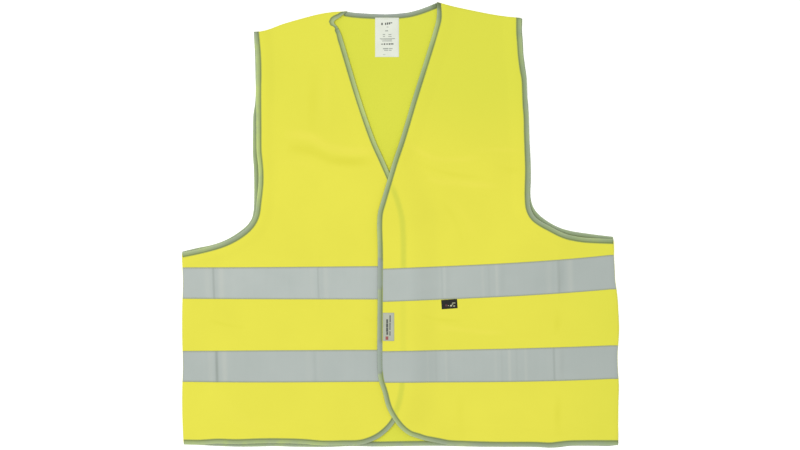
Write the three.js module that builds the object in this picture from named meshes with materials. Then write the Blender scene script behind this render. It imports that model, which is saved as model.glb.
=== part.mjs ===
// A high-visibility safety vest laid flat with its front up, in millimetres.
// +X points to the wearer's left, +Y to the neck and +Z up. The underside lies on Z = 0 and the
// origin is under the middle of the vest. "right" and "left" in names are the wearer's.
import * as THREE from "three";

// ---- Driving sizes ----------------------------------------------------------------------------
const CLOTH = 1.0; // wall of each piece of cloth
const GAP = 0.3; // clearance at seams and between layers
const LAYER = CLOTH + GAP; // rise from one layer of cloth to the next
const BINDING_WIDTH = 8.0; // folded binding, from its outer face to its stitched edge
const FLAT_EDGE = 9.0; // strip along a panel's edge that stays straight under the binding
const CORNER_STEP = 6.5; // spacing of the stations in the middle of a front's round corner
const SAMPLE_STEP = 2.0; // spacing of the samples along an outline

const BACK_BOTTOM = LAYER; // lower face of the back panel, which lies on its own tapes
const FRONT_BOTTOM = BACK_BOTTOM + LAYER; // lower face of a front that lies on the back
const EDGE_PLATEAU = 12.0; // how far in from an edge the cloth stays lifted by its binding
const EDGE_FALL = 20.0; // width of the slope that follows
const LAP_PLATEAU = 6.0; // how far past the other front the cloth stays lifted
const LAP_FALL = 48.0; // width of the slope that follows

const UP = new THREE.Vector3(0, 1, 0);
const DOWN = new THREE.Vector3(0, -1, 0);

const CENTRE_Y = -150; // a level where both centre edges run straight
const BACK_STATIONS = { hem: 22, armhole: 18, neck: 12 }; // sections along each back binding

const CARE_LABEL = { x: -20.5, y: 288.9, width: 37, height: 58 };
const BLACK_LABEL = { x: 76.2, y: -124.6, width: 24.5, height: 14.2, turn: 4 };
const TAB_LABEL = { x: -18.0, y: -158.5, width: 17.0, height: 43.5 };
const CLOSURE = { x: -13.5, y: -155.0, width: 20, height: 60 };

// ---- Finished outlines, at the outer face of the binding ----------------------------------------
// Side seams, from the hem up.
const SIDE_RIGHT = [
  { x: -335.5, y: -341.0 },
  { x: -337.8, y: -300.0 },
  { x: -338.0, y: -255.0 },
  { x: -336.9, y: -220.0 },
  { x: -337.9, y: -185.0 },
  { x: -338.2, y: -150.0 },
  { x: -337.8, y: -120.0 },
  { x: -336.8, y: -92.0 },
  { x: -337.8, y: -62.0 },
  { x: -338.3, y: -40.0 },
];
const SIDE_LEFT = [
  { x: 337.5, y: -342.0 },
  { x: 337.9, y: -300.0 },
  { x: 338.2, y: -275.0 },
  { x: 338.9, y: -250.0 },
  { x: 337.2, y: -225.0 },
  { x: 336.8, y: -200.0 },
  { x: 338.2, y: -183.0 },
  { x: 339.2, y: -160.0 },
  { x: 338.2, y: -138.0 },
  { x: 337.2, y: -118.0 },
  { x: 335.2, y: -101.0 },
  { x: 333.2, y: -88.0 },
  { x: 332.3, y: -70.0 },
  { x: 331.4, y: -52.0 },
  { x: 331.0, y: -34.0 },
  { x: 330.0, y: -18.0 },
];

// Armholes, from the side seam to the shoulder.
const FRONT_ARMHOLE_RIGHT = [
  { x: -338.3, y: -43.4 },
  { x: -316.2, y: -38.8 },
  { x: -292.5, y: -33.0 },
  { x: -272.0, y: -26.2 },
  { x: -250.8, y: -15.0 },
  { x: -234.8, y: -1.4 },
  { x: -226.4, y: 13.2 },
  { x: -222.6, y: 38.0 },
  { x: -220.0, y: 62.0 },
  { x: -219.8, y: 80.0 },
  { x: -220.8, y: 95.0 },
  { x: -222.6, y: 112.0 },
  { x: -223.0, y: 150.0 },
  { x: -223.3, y: 205.0 },
  { x: -223.0, y: 240.0 },
  { x: -223.9, y: 265.0 },
  { x: -227.0, y: 298.4 },
];
const BACK_ARMHOLE_RIGHT = [
  { x: -338.3, y: -42.0 },
  { x: -315.0, y: -36.4 },
  { x: -291.0, y: -31.4 },
  { x: -268.5, y: -23.0 },
  { x: -247.6, y: -9.8 },
  { x: -236.5, y: 0.0 },
  { x: -230.2, y: 10.0 },
  { x: -227.6, y: 22.0 },
  { x: -226.8, y: 40.0 },
  { x: -227.2, y: 85.0 },
  { x: -228.7, y: 110.0 },
  { x: -228.6, y: 145.0 },
  { x: -228.0, y: 170.0 },
  { x: -225.4, y: 188.0 },
  { x: -224.4, y: 205.0 },
  { x: -224.8, y: 230.0 },
  { x: -225.5, y: 262.0 },
  { x: -227.5, y: 299.0 },
];
const FRONT_ARMHOLE_LEFT = [
  { x: 330.1, y: -22.2 },
  { x: 306.0, y: -21.4 },
  { x: 294.0, y: -20.8 },
  { x: 283.0, y: -19.9 },
  { x: 271.0, y: -18.0 },
  { x: 260.0, y: -15.6 },
  { x: 248.0, y: -11.0 },
  { x: 232.9, y: -3.1 },
  { x: 219.0, y: 4.5 },
  { x: 208.9, y: 12.4 },
  { x: 202.6, y: 24.0 },
  { x: 200.6, y: 42.0 },
  { x: 201.2, y: 84.5 },
  { x: 200.2, y: 118.0 },
  { x: 199.4, y: 142.0 },
  { x: 199.0, y: 165.0 },
  { x: 197.4, y: 185.0 },
  { x: 196.6, y: 205.0 },
  { x: 195.6, y: 225.0 },
  { x: 192.6, y: 242.0 },
  { x: 190.0, y: 262.0 },
  { x: 188.6, y: 282.0 },
  { x: 187.4, y: 300.0 },
  { x: 187.4, y: 320.0 },
];
const BACK_ARMHOLE_LEFT = [
  { x: 330.0, y: -19.0 },
  { x: 294.0, y: -14.6 },
  { x: 263.0, y: -9.7 },
  { x: 247.6, y: -5.0 },
  { x: 232.1, y: 2.7 },
  { x: 217.0, y: 13.6 },
  { x: 208.6, y: 23.0 },
  { x: 204.0, y: 33.0 },
  { x: 202.0, y: 46.0 },
  { x: 202.6, y: 70.0 },
  { x: 202.2, y: 100.0 },
  { x: 200.8, y: 125.0 },
  { x: 199.8, y: 155.0 },
  { x: 198.6, y: 185.0 },
  { x: 196.4, y: 205.0 },
  { x: 196.2, y: 226.0 },
  { x: 193.6, y: 246.0 },
  { x: 191.2, y: 265.0 },
  { x: 190.2, y: 285.0 },
  { x: 189.0, y: 300.0 },
  { x: 189.4, y: 319.5 },
];

// Shoulder folds, from the armhole to the neck.
const SHOULDER_RIGHT = [
  { x: -227.0, y: 298.4 },
  { x: -216.5, y: 299.0 },
  { x: -202.0, y: 303.0 },
  { x: -186.4, y: 309.2 },
  { x: -155.4, y: 318.5 },
  { x: -124.4, y: 326.3 },
  { x: -105.0, y: 329.0 },
  { x: -82.0, y: 330.2 },
];
const SHOULDER_LEFT = [
  { x: 187.4, y: 320.0 },
  { x: 170.0, y: 321.6 },
  { x: 139.0, y: 326.3 },
  { x: 108.0, y: 332.5 },
  { x: 77.0, y: 339.2 },
  { x: 56.5, y: 344.6 },
];

// Back neck, from the right shoulder to the left one, and back hem, from side to side.
const BACK_NECK = [
  { x: -86.5, y: 331.0 },
  { x: -78.0, y: 329.6 },
  { x: -70.0, y: 328.6 },
  { x: -45.0, y: 327.0 },
  { x: -20.0, y: 326.3 },
  { x: 0.0, y: 327.6 },
  { x: 15.0, y: 329.6 },
  { x: 31.0, y: 334.0 },
  { x: 46.0, y: 339.6 },
  { x: 56.0, y: 343.8 },
];
const BACK_HEM = [
  { x: -335.5, y: -341.0 },
  { x: -311.0, y: -342.2 },
  { x: -285.0, y: -343.7 },
  { x: -255.0, y: -344.8 },
  { x: -225.0, y: -344.7 },
  { x: -195.0, y: -344.0 },
  { x: -165.0, y: -344.9 },
  { x: -110.0, y: -345.2 },
  { x: -78.0, y: -344.0 },
  { x: -35.0, y: -344.6 },
  { x: 0.0, y: -344.0 },
  { x: 60.0, y: -343.5 },
  { x: 100.0, y: -344.4 },
  { x: 130.0, y: -345.0 },
  { x: 205.0, y: -345.1 },
  { x: 232.0, y: -346.4 },
  { x: 246.0, y: -345.8 },
  { x: 262.0, y: -343.8 },
  { x: 300.0, y: -343.5 },
  { x: 325.0, y: -343.7 },
  { x: 337.5, y: -342.0 },
];

// Front edges, from the neck down the V and the centre, round the corner and along the hem.
// The right shoulder has rolled forward, so its edge first runs back along the fold.
const FRONT_EDGE_RIGHT = [
  { x: -82.0, y: 330.2 },
  { x: -92.8, y: 321.8 },
  { x: -103.2, y: 313.6 },
  { x: -97.6, y: 306.4 },
  { x: -92.8, y: 297.4 },
  { x: -88.6, y: 285.0 },
  { x: -79.6, y: 255.0 },
  { x: -60.8, y: 193.0 },
  { x: -39.1, y: 131.0 },
  { x: -25.2, y: 100.0 },
  { x: -13.0, y: 72.0 },
  { x: -1.5, y: 42.0 },
  { x: 6.5, y: 12.0 },
  { x: 9.0, y: -20.0 },
  { x: 9.0, y: -130.0 },
  { x: 8.5, y: -230.0 },
  { x: 5.5, y: -262.0 },
  { x: -1.0, y: -287.0 },
  { x: -6.8, y: -304.0 },
  { x: -17.7, y: -318.3 },
  { x: -34.9, y: -331.7 },
  { x: -59.2, y: -340.8 },
  { x: -90.0, y: -342.2 },
  { x: -120.0, y: -342.6 },
  { x: -150.0, y: -340.2 },
  { x: -180.0, y: -339.2 },
  { x: -215.0, y: -339.2 },
  { x: -255.0, y: -340.5 },
  { x: -282.0, y: -339.7 },
  { x: -310.0, y: -341.3 },
  { x: -335.5, y: -341.0 },
];
const FRONT_EDGE_LEFT = [
  { x: 56.5, y: 344.6 },
  { x: 56.6, y: 321.6 },
  { x: 50.8, y: 298.0 },
  { x: 37.5, y: 254.4 },
  { x: 18.2, y: 192.6 },
  { x: -0.3, y: 130.6 },
  { x: -10.8, y: 99.4 },
  { x: -20.1, y: 68.4 },
  { x: -29.1, y: 37.9 },
  { x: -34.6, y: 18.0 },
  { x: -35.8, y: 0.0 },
  { x: -34.8, y: -40.0 },
  { x: -35.0, y: -110.0 },
  { x: -35.0, y: -226.0 },
  { x: -32.8, y: -242.4 },
  { x: -27.1, y: -260.3 },
  { x: -21.0, y: -282.8 },
  { x: -10.9, y: -301.8 },
  { x: 2.8, y: -318.4 },
  { x: 15.0, y: -327.1 },
  { x: 26.3, y: -330.8 },
  { x: 37.3, y: -334.5 },
  { x: 49.1, y: -336.9 },
  { x: 60.8, y: -339.1 },
  { x: 72.5, y: -341.5 },
  { x: 84.5, y: -342.5 },
  { x: 96.6, y: -342.9 },
  { x: 120.7, y: -343.8 },
  { x: 150.0, y: -344.5 },
  { x: 205.0, y: -344.6 },
  { x: 217.0, y: -345.0 },
  { x: 232.0, y: -345.6 },
  { x: 245.0, y: -344.3 },
  { x: 260.0, y: -342.6 },
  { x: 290.0, y: -342.0 },
  { x: 337.5, y: -342.0 },
];

// ---- Rows and columns of the two front panels ---------------------------------------------------
// A row gives its level (y) at the outer and at the inner edge, and sag lowers its middle. The rows
// that TAPES names lie under the edges of the reflective tapes.
const ROWS_RIGHT = {
  below: [
    { outer: -312, inner: -300, sag: 0 },
    { outer: -297, inner: -286, sag: 0 },
    { outer: -279, inner: -271, sag: 0 },
    { outer: -261, inner: -257, sag: 0 },
    { outer: -243.9, inner: -243.3, sag: -1 },
    { outer: -228, inner: -227, sag: -0.7 },
    { outer: -212, inner: -211, sag: -0.4 },
    { outer: -196.2, inner: -194.2, sag: 0 },
    { outer: -179, inner: -178, sag: 0 },
    { outer: -160, inner: -160, sag: 0 },
    { outer: -142, inner: -142, sag: 0 },
    { outer: -128, inner: -128, sag: 0 },
    { outer: -115, inner: -116, sag: -0.3 },
    { outer: -99, inner: -98.5, sag: -0.4 },
    { outer: -82.5, inner: -81, sag: -0.4 },
    { outer: -66.7, inner: -64.3, sag: -0.5 },
  ],
  corner: [
    { inner: -57, sag: 0 },
    { inner: -50, sag: 0 },
  ],
  above: [
    { outer: -38.5, inner: -44 },
    { outer: -34, inner: -37 },
    { outer: -28, inner: -31 },
    { outer: -20, inner: -23 },
    { outer: -9, inner: -12 },
    { outer: 3, inner: 0 },
    { outer: 14, inner: 13 },
    { outer: 27, inner: 26 },
    { outer: 42, inner: 41 },
    { outer: 58, inner: 57 },
    { outer: 74, inner: 73 },
    { outer: 90, inner: 89 },
    { outer: 105, inner: 105 },
    { outer: 118, inner: 119 },
    { outer: 131, inner: 133 },
    { outer: 148, inner: 152 },
    { outer: 168, inner: 174 },
    { outer: 189, inner: 197 },
    { outer: 210, inner: 221 },
    { outer: 230, inner: 244 },
    { outer: 248, inner: 265 },
    { outer: 264, inner: 285 },
    { outer: 276, inner: 300 },
    { outer: 286, inner: 314.2 },
  ],
};
const ROWS_LEFT = {
  below: [
    { outer: -314, inner: -303, sag: 0 },
    { outer: -297, inner: -288, sag: 0 },
    { outer: -277, inner: -273, sag: 0 },
    { outer: -258, inner: -258, sag: -1 },
    { outer: -239.3, inner: -244.8, sag: -2.1 },
    { outer: -222, inner: -228.5, sag: -1.8 },
    { outer: -205, inner: -212.5, sag: -1.4 },
    { outer: -187.6, inner: -196.4, sag: -1.1 },
    { outer: -168, inner: -180, sag: -1.5 },
    { outer: -148, inner: -164, sag: -1.8 },
    { outer: -130, inner: -147.5, sag: -2.2 },
    { outer: -114.5, inner: -132, sag: -2.3 },
    { outer: -100.4, inner: -119.7, sag: -2.4 },
    { outer: -83, inner: -102.5, sag: -2.6 },
    { outer: -65, inner: -85.5, sag: -2.8 },
    { outer: -47.4, inner: -68.6, sag: -3 },
  ],
  corner: [
    { inner: -56, sag: -2 },
    { inner: -45, sag: -1 },
  ],
  above: [
    { outer: -21.7, inner: -36 },
    { outer: -20.6, inner: -29 },
    { outer: -17.5, inner: -22.5 },
    { outer: -12, inner: -16 },
    { outer: -4, inner: -8 },
    { outer: 5, inner: 1 },
    { outer: 15, inner: 13 },
    { outer: 28, inner: 26 },
    { outer: 42, inner: 40 },
    { outer: 56, inner: 54 },
    { outer: 70, inner: 68 },
    { outer: 84, inner: 82 },
    { outer: 99, inner: 97 },
    { outer: 113, inner: 111 },
    { outer: 127, inner: 126 },
    { outer: 145, inner: 145 },
    { outer: 166, inner: 168 },
    { outer: 188, inner: 192 },
    { outer: 209, inner: 215 },
    { outer: 229, inner: 238 },
    { outer: 248, inner: 260 },
    { outer: 265, inner: 281 },
    { outer: 281, inner: 300 },
    { outer: 297, inner: 318 },
    { outer: 309, inner: 331 },
  ],
};
const FIRST_TABLE_ROW = 2; // rows 0 and 1 follow the hem
const TAPES = {
  lower: { from: FIRST_TABLE_ROW + 4, to: FIRST_TABLE_ROW + 7 },
  upper: { from: FIRST_TABLE_ROW + 12, to: FIRST_TABLE_ROW + 15 },
};
// Where the columns between the two edge strips cross the middle of each front.
const COLUMNS_RIGHT = [
  -314, -298, -289, -280, -254, -225, -195, -165, -135, -126, -117, -95, -74, -58, -42, -22,
];
const COLUMNS_LEFT = [290, 255, 246, 237, 200, 164, 155, 146, 112, 80, 71, 62, 52, 38, 26, 15, 6, -10];

// Soft ridges that are left from folding, each by its middle, length, half width and height.
const RIDGES_RIGHT = [
  { x: -289, y: -92, length: 120, turn: 90, width: 9, height: 0.8 },
  { x: -126, y: -90, length: 130, turn: 90, width: 9, height: 0.7 },
  { x: -289, y: -220, length: 110, turn: 90, width: 9, height: 0.8 },
  { x: -126, y: -222, length: 90, turn: 90, width: 9, height: 0.4 },
  { x: -140, y: 117, length: 190, turn: 0, width: 17, height: 0.9 },
  { x: -90, y: 102, length: 110, turn: -12, width: 18, height: 0.7 },
];
const RIDGES_LEFT = [
  { x: 71, y: -88, length: 90, turn: 90, width: 9, height: 0.5 },
  { x: 155, y: -82, length: 90, turn: 90, width: 9, height: 0.4 },
  { x: 246, y: -80, length: 100, turn: 90, width: 9, height: 0.8 },
  { x: 71, y: -220, length: 90, turn: 90, width: 9, height: 0.4 },
  { x: 246, y: -215, length: 100, turn: 90, width: 9, height: 0.8 },
  { x: 125, y: 113, length: 150, turn: 0, width: 17, height: 0.8 },
  { x: 92, y: 80, length: 160, turn: -16, width: 18, height: 0.8 },
];

// ---- Materials ----------------------------------------------------------------------------------
const FINISH = {
  yellow: { color: "#e8e352", roughness: 0.85, metalness: 0 },
  binding: { color: "#8b9c80", roughness: 0.8, metalness: 0 },
  tape: { color: "#b6c0b9", roughness: 0.45, metalness: 0 },
  label: { color: "#ebefe3", roughness: 0.7, metalness: 0 },
  black: { color: "#1f1d16", roughness: 0.6, metalness: 0 },
  tab: { color: "#a4a9a0", roughness: 0.5, metalness: 0 },
  fastener: { color: "#d9d64c", roughness: 0.95, metalness: 0 },
};

// ---- Lines in plan ------------------------------------------------------------------------------
/** Closely spaced points of a smooth line through the rows of a table. */
function smoothLine(table) {
  const points = table.map((row) => new THREE.Vector3(row.x, row.y, 0));
  const curve = new THREE.CatmullRomCurve3(points, false, "centripetal");
  return curve.getSpacedPoints(Math.ceil(curve.getLength() / SAMPLE_STEP));
}

/** The point and direction of a line where one coordinate first reaches a value. */
function crossing(line, axis, value) {
  let best = { miss: Infinity };
  for (let i = 0; i + 1 < line.length; i += 1) {
    const a = line[i];
    const b = line[i + 1];
    const span = b[axis] - a[axis];
    const t = span === 0 ? 0 : THREE.MathUtils.clamp((value - a[axis]) / span, 0, 1);
    const point = a.clone().lerp(b, t);
    const miss = Math.abs(point[axis] - value);
    if (miss < best.miss - 1e-9) {
      best = { miss, point, direction: b.clone().sub(a).normalize() };
    }
  }
  return best;
}

/** The point and direction at a distance along a line from its first sample. */
function placeAt(line, distance) {
  const at = THREE.MathUtils.clamp(distance / SAMPLE_STEP, 0, line.length - 1.001);
  const [a, b] = [line[Math.floor(at)], line[Math.floor(at) + 1]];
  return { point: a.clone().lerp(b, at % 1), direction: b.clone().sub(a).normalize() };
}

/** Distance in plan from a point to a line. */
function distanceTo(line, point) {
  let nearest = Infinity;
  for (let i = 0; i + 1 < line.length; i += 1) {
    const segment = line[i + 1].clone().sub(line[i]);
    const offset = new THREE.Vector3(point.x - line[i].x, point.y - line[i].y, 0);
    const t = THREE.MathUtils.clamp(offset.dot(segment) / segment.lengthSq(), 0, 1);
    nearest = Math.min(nearest, offset.addScaledVector(segment, -t).length());
  }
  return nearest;
}

/** True where a point lies inside a closed outline. */
function inside(outline, point) {
  let within = false;
  outline.forEach((a, i) => {
    const b = outline[(i + 1) % outline.length];
    const level = a.y > point.y !== b.y > point.y;
    if (level && point.x < a.x + ((point.y - a.y) / (b.y - a.y)) * (b.x - a.x)) {
      within = !within;
    }
  });
  return within;
}

/** 1 up to a distance, then a soft slope down to 0. */
function lift(distance, plateau, fall) {
  return 1 - THREE.MathUtils.smoothstep(distance, plateau, plateau + fall);
}

/** Height that a table of ridges adds at a point. */
function ridgeHeight(ridges, point) {
  const bell = (t) => (Math.abs(t) < 1 ? Math.cos((Math.PI / 2) * t) ** 2 : 0);
  return ridges.reduce((sum, ridge) => {
    const turn = THREE.MathUtils.degToRad(ridge.turn);
    const dx = point.x - ridge.x;
    const dy = point.y - ridge.y;
    const along = dx * Math.cos(turn) + dy * Math.sin(turn);
    const across = dy * Math.cos(turn) - dx * Math.sin(turn);
    return sum + ridge.height * bell((2 * along) / ridge.length) * bell(across / ridge.width);
  }, 0);
}

// ---- Stations along a bound edge ----------------------------------------------------------------
// A station holds three points on one short line across the edge: "finished" on the binding's outer
// face, "edge" where the cloth ends, and "inner" where the straight strip of cloth ends.

/** A station that looks inward, square to the line; hand is 1 where the cloth is on the right. */
function squareStation({ point, direction }, hand) {
  const inward = new THREE.Vector3(direction.y, -direction.x, 0).multiplyScalar(hand);
  return stationAlong(point, inward, 1);
}

/** A station at the end of a bound edge, cut along the seam that meets it there. */
function seamStation({ point, direction }, seam) {
  const slant = Math.abs(direction.x * seam.y - direction.y * seam.x);
  return stationAlong(point, seam, 1 / slant);
}

function stationAlong(point, inward, stretch) {
  return {
    finished: point.clone(),
    edge: point.clone().addScaledVector(inward, LAYER * stretch),
    inner: point.clone().addScaledVector(inward, (LAYER + FLAT_EDGE) * stretch),
  };
}

/** Evenly spaced stations along a line; seams, where given, cut its two ends. */
function evenStations(line, count, hand, seams) {
  const stations = [];
  for (let i = 0; i <= count; i += 1) {
    const at = Math.round((i * (line.length - 1)) / count);
    const before = line[Math.max(at - 1, 0)];
    const after = line[Math.min(at + 1, line.length - 1)];
    const place = { point: line[at], direction: after.clone().sub(before).normalize() };
    const seam = i === 0 ? seams?.first : i === count ? seams?.last : undefined;
    stations.push(seam ? seamStation(place, seam) : squareStation(place, hand));
  }
  return stations;
}

// ---- Solids ---------------------------------------------------------------------------------------
/** A closed geometry from its corner points and triangles, with the faces turned outward. */
function closedGeometry(points, triangles) {
  const volume = triangles.reduce((sum, [a, b, c]) => {
    return sum + points[a].dot(points[b].clone().cross(points[c]));
  }, 0);
  const outward = volume > 0 ? triangles : triangles.map(([a, b, c]) => [a, c, b]);
  const geometry = new THREE.BufferGeometry();
  const numbers = points.flatMap((point) => point.toArray());
  geometry.setAttribute("position", new THREE.Float32BufferAttribute(numbers, 3));
  geometry.setIndex(outward.flat());
  geometry.computeVertexNormals();
  return geometry;
}

/** A sheet of even thickness over a grid of points, raised above them by a clearance. */
function sheetGeometry(grid, raise, thickness) {
  const columns = grid[0].length;
  const count = grid.length * columns;
  const move = (point, dz) => new THREE.Vector3(point.x, point.y, point.z + dz);
  const points = [
    ...grid.flat().map((point) => move(point, raise)),
    ...grid.flat().map((point) => move(point, raise + thickness)),
  ];
  const triangles = [];
  for (let r = 0; r + 1 < grid.length; r += 1) {
    for (let c = 0; c + 1 < columns; c += 1) {
      const a = r * columns + c;
      const [b, d, e] = [a + 1, a + columns, a + columns + 1];
      triangles.push([a, e, b], [a, d, e]);
      triangles.push([a + count, b + count, e + count], [a + count, e + count, d + count]);
    }
  }
  const rim = [];
  const indices = grid.map((row, r) => row.map((point, c) => r * columns + c));
  rim.push(...indices[0]);
  rim.push(...indices.slice(1).map((row) => row[columns - 1]));
  rim.push(...indices[grid.length - 1].slice(0, -1).reverse());
  rim.push(...indices.slice(1, -1).map((row) => row[0]).reverse());
  rim.forEach((a, i) => {
    const b = rim[(i + 1) % rim.length];
    triangles.push([a, b, b + count], [a, b + count, a + count]);
  });
  return closedGeometry(points, triangles);
}

/** A folded strip that holds a panel's edge between its two legs, through a list of stations. */
function bindingGeometry(stations) {
  const outerFold = 0.6; // share of the way from the finished face to the cloth's edge
  const innerFold = GAP / LAYER;
  const round = 0.8;
  const legEnd = (BINDING_WIDTH - LAYER) / FLAT_EDGE;
  const section = ({ finished, edge, inner }) => {
    const leg = (dz) => edge.clone().lerp(inner, legEnd).add(new THREE.Vector3(0, 0, dz));
    const fold = (share, dz) => {
      const point = edge.clone().lerp(finished, share);
      return new THREE.Vector3(point.x, point.y, edge.z + dz);
    };
    return [
      leg(-LAYER),
      fold(1 - outerFold, -LAYER),
      fold(1, round - LAYER),
      fold(1, CLOTH + LAYER - round),
      fold(1 - outerFold, CLOTH + LAYER),
      leg(CLOTH + LAYER),
      leg(CLOTH + GAP),
      fold(innerFold, CLOTH + GAP),
      fold(innerFold, -GAP),
      leg(-GAP),
    ];
  };
  const size = 10;
  const legToFold = [0, 6]; // faces whose diagonals are turned, to lie like those of the cloth
  const points = stations.flatMap(section);
  const triangles = [];
  for (let i = 0; i + 1 < stations.length; i += 1) {
    for (let k = 0; k < size; k += 1) {
      const a = i * size + k;
      const b = i * size + ((k + 1) % size);
      if (legToFold.includes(k)) {
        triangles.push([a, b, a + size], [b, b + size, a + size]);
      } else {
        triangles.push([a, b, b + size], [a, b + size, a + size]);
      }
    }
  }
  const cap = [[0, 1, 8], [0, 8, 9], [1, 2, 8], [2, 3, 8], [3, 7, 8], [3, 4, 7], [4, 5, 7], [5, 6, 7]];
  const last = (stations.length - 1) * size;
  cap.forEach(([a, b, c]) => {
    triangles.push([a, c, b]);
    triangles.push([a + last, b + last, c + last]);
  });
  return closedGeometry(points, triangles);
}

/** A flat piece of cloth from its outline in plan. */
function flatGeometry(outline, bottom) {
  const shape = new THREE.Shape(outline.map((point) => new THREE.Vector2(point.x, point.y)));
  const geometry = new THREE.ExtrudeGeometry(shape, { depth: CLOTH, bevelEnabled: false });
  return geometry.translate(0, 0, bottom);
}

/** A small flat piece, turned in plan by some degrees. */
function patchGeometry({ x, y, width, height, turn = 0 }, bottom) {
  const geometry = new THREE.BoxGeometry(width, height, CLOTH);
  geometry.rotateZ(THREE.MathUtils.degToRad(turn));
  return geometry.translate(x, y, bottom + CLOTH / 2);
}

// ---- The lines of the vest ----------------------------------------------------------------------
const lines = {
  sideRight: smoothLine(SIDE_RIGHT),
  sideLeft: smoothLine(SIDE_LEFT),
  frontArmholeRight: smoothLine(FRONT_ARMHOLE_RIGHT),
  frontArmholeLeft: smoothLine(FRONT_ARMHOLE_LEFT),
  backArmholeRight: smoothLine(BACK_ARMHOLE_RIGHT),
  backArmholeLeft: smoothLine(BACK_ARMHOLE_LEFT),
  shoulderRight: smoothLine(SHOULDER_RIGHT),
  shoulderLeft: smoothLine(SHOULDER_LEFT),
  backNeck: smoothLine(BACK_NECK),
  backHem: smoothLine(BACK_HEM),
  frontEdgeRight: smoothLine(FRONT_EDGE_RIGHT),
  frontEdgeLeft: smoothLine(FRONT_EDGE_LEFT),
};
const backBoundLines = [lines.backArmholeRight, lines.backArmholeLeft, lines.backNeck, lines.backHem];
const outlineRight = [
  ...lines.frontEdgeRight,
  ...lines.sideRight,
  ...lines.frontArmholeRight,
  ...lines.shoulderRight,
];
const outlineLeft = [
  ...lines.frontEdgeLeft,
  ...lines.sideLeft,
  ...lines.frontArmholeLeft,
  ...lines.shoulderLeft,
];

/** How far a front is lifted by the back's bindings, its own bindings and the other front. */
function liftsAt(point, ownLines, otherOutline) {
  const nearest = (list) => Math.min(...list.map((line) => distanceTo(line, point)));
  const toOther = inside(otherOutline, point) ? 0 : distanceTo(otherOutline, point);
  return {
    back: lift(nearest(backBoundLines), EDGE_PLATEAU, EDGE_FALL),
    own: lift(nearest(ownLines), EDGE_PLATEAU, EDGE_FALL),
    lap: lift(toOther, LAP_PLATEAU, LAP_FALL),
  };
}

/** Lower face of the right front, which lies under the other at the centre. */
function rightHeight(point) {
  const { back, own, lap } = liftsAt(point, [lines.frontEdgeRight, lines.frontArmholeRight], outlineLeft);
  return FRONT_BOTTOM + LAYER * (Math.max(own, lap) + back) + ridgeHeight(RIDGES_RIGHT, point);
}

/** Lower face of the left front: over the other it clears a binding of three layers. */
function leftHeight(point) {
  const { back, own, lap } = liftsAt(point, [lines.frontEdgeLeft, lines.frontArmholeLeft], outlineRight);
  return FRONT_BOTTOM + LAYER * (Math.max(own, lap) + 3 * lap + back) + ridgeHeight(RIDGES_LEFT, point);
}

// ---- A front panel ------------------------------------------------------------------------------
/** One row of a front: its two ends, and the shares of the way between its edge strips. */
function rowAcross(ends, station, shares, sag = 0) {
  const between = shares.map((t) => {
    const point = ends.inner.clone().lerp(station.inner, t);
    point.y += sag * 4 * t * (1 - t) * (1.4 - 0.8 * t);
    return point;
  });
  return [ends.edge, ends.inner, ...between, station.inner, station.edge];
}

/** Stations along a front's hem, from the side seam to the middle of the round corner. */
function hemStationsOf(hemLine, shares, hand) {
  const length = SAMPLE_STEP * (hemLine.length - 1);
  const crowding = 1.25; // above 1, the stations stand closer together towards the corner
  const fromCorner = shares.map((t) => CORNER_STEP + (length - FLAT_EDGE) * (1 - t) ** crowding);
  const distances = [length - FLAT_EDGE, ...fromCorner, CORNER_STEP, 0];
  return [
    stationAlong(hemLine[hemLine.length - 1], UP, 1),
    ...distances.map((distance) => squareStation(placeAt(hemLine, distance), hand)),
  ];
}

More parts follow.
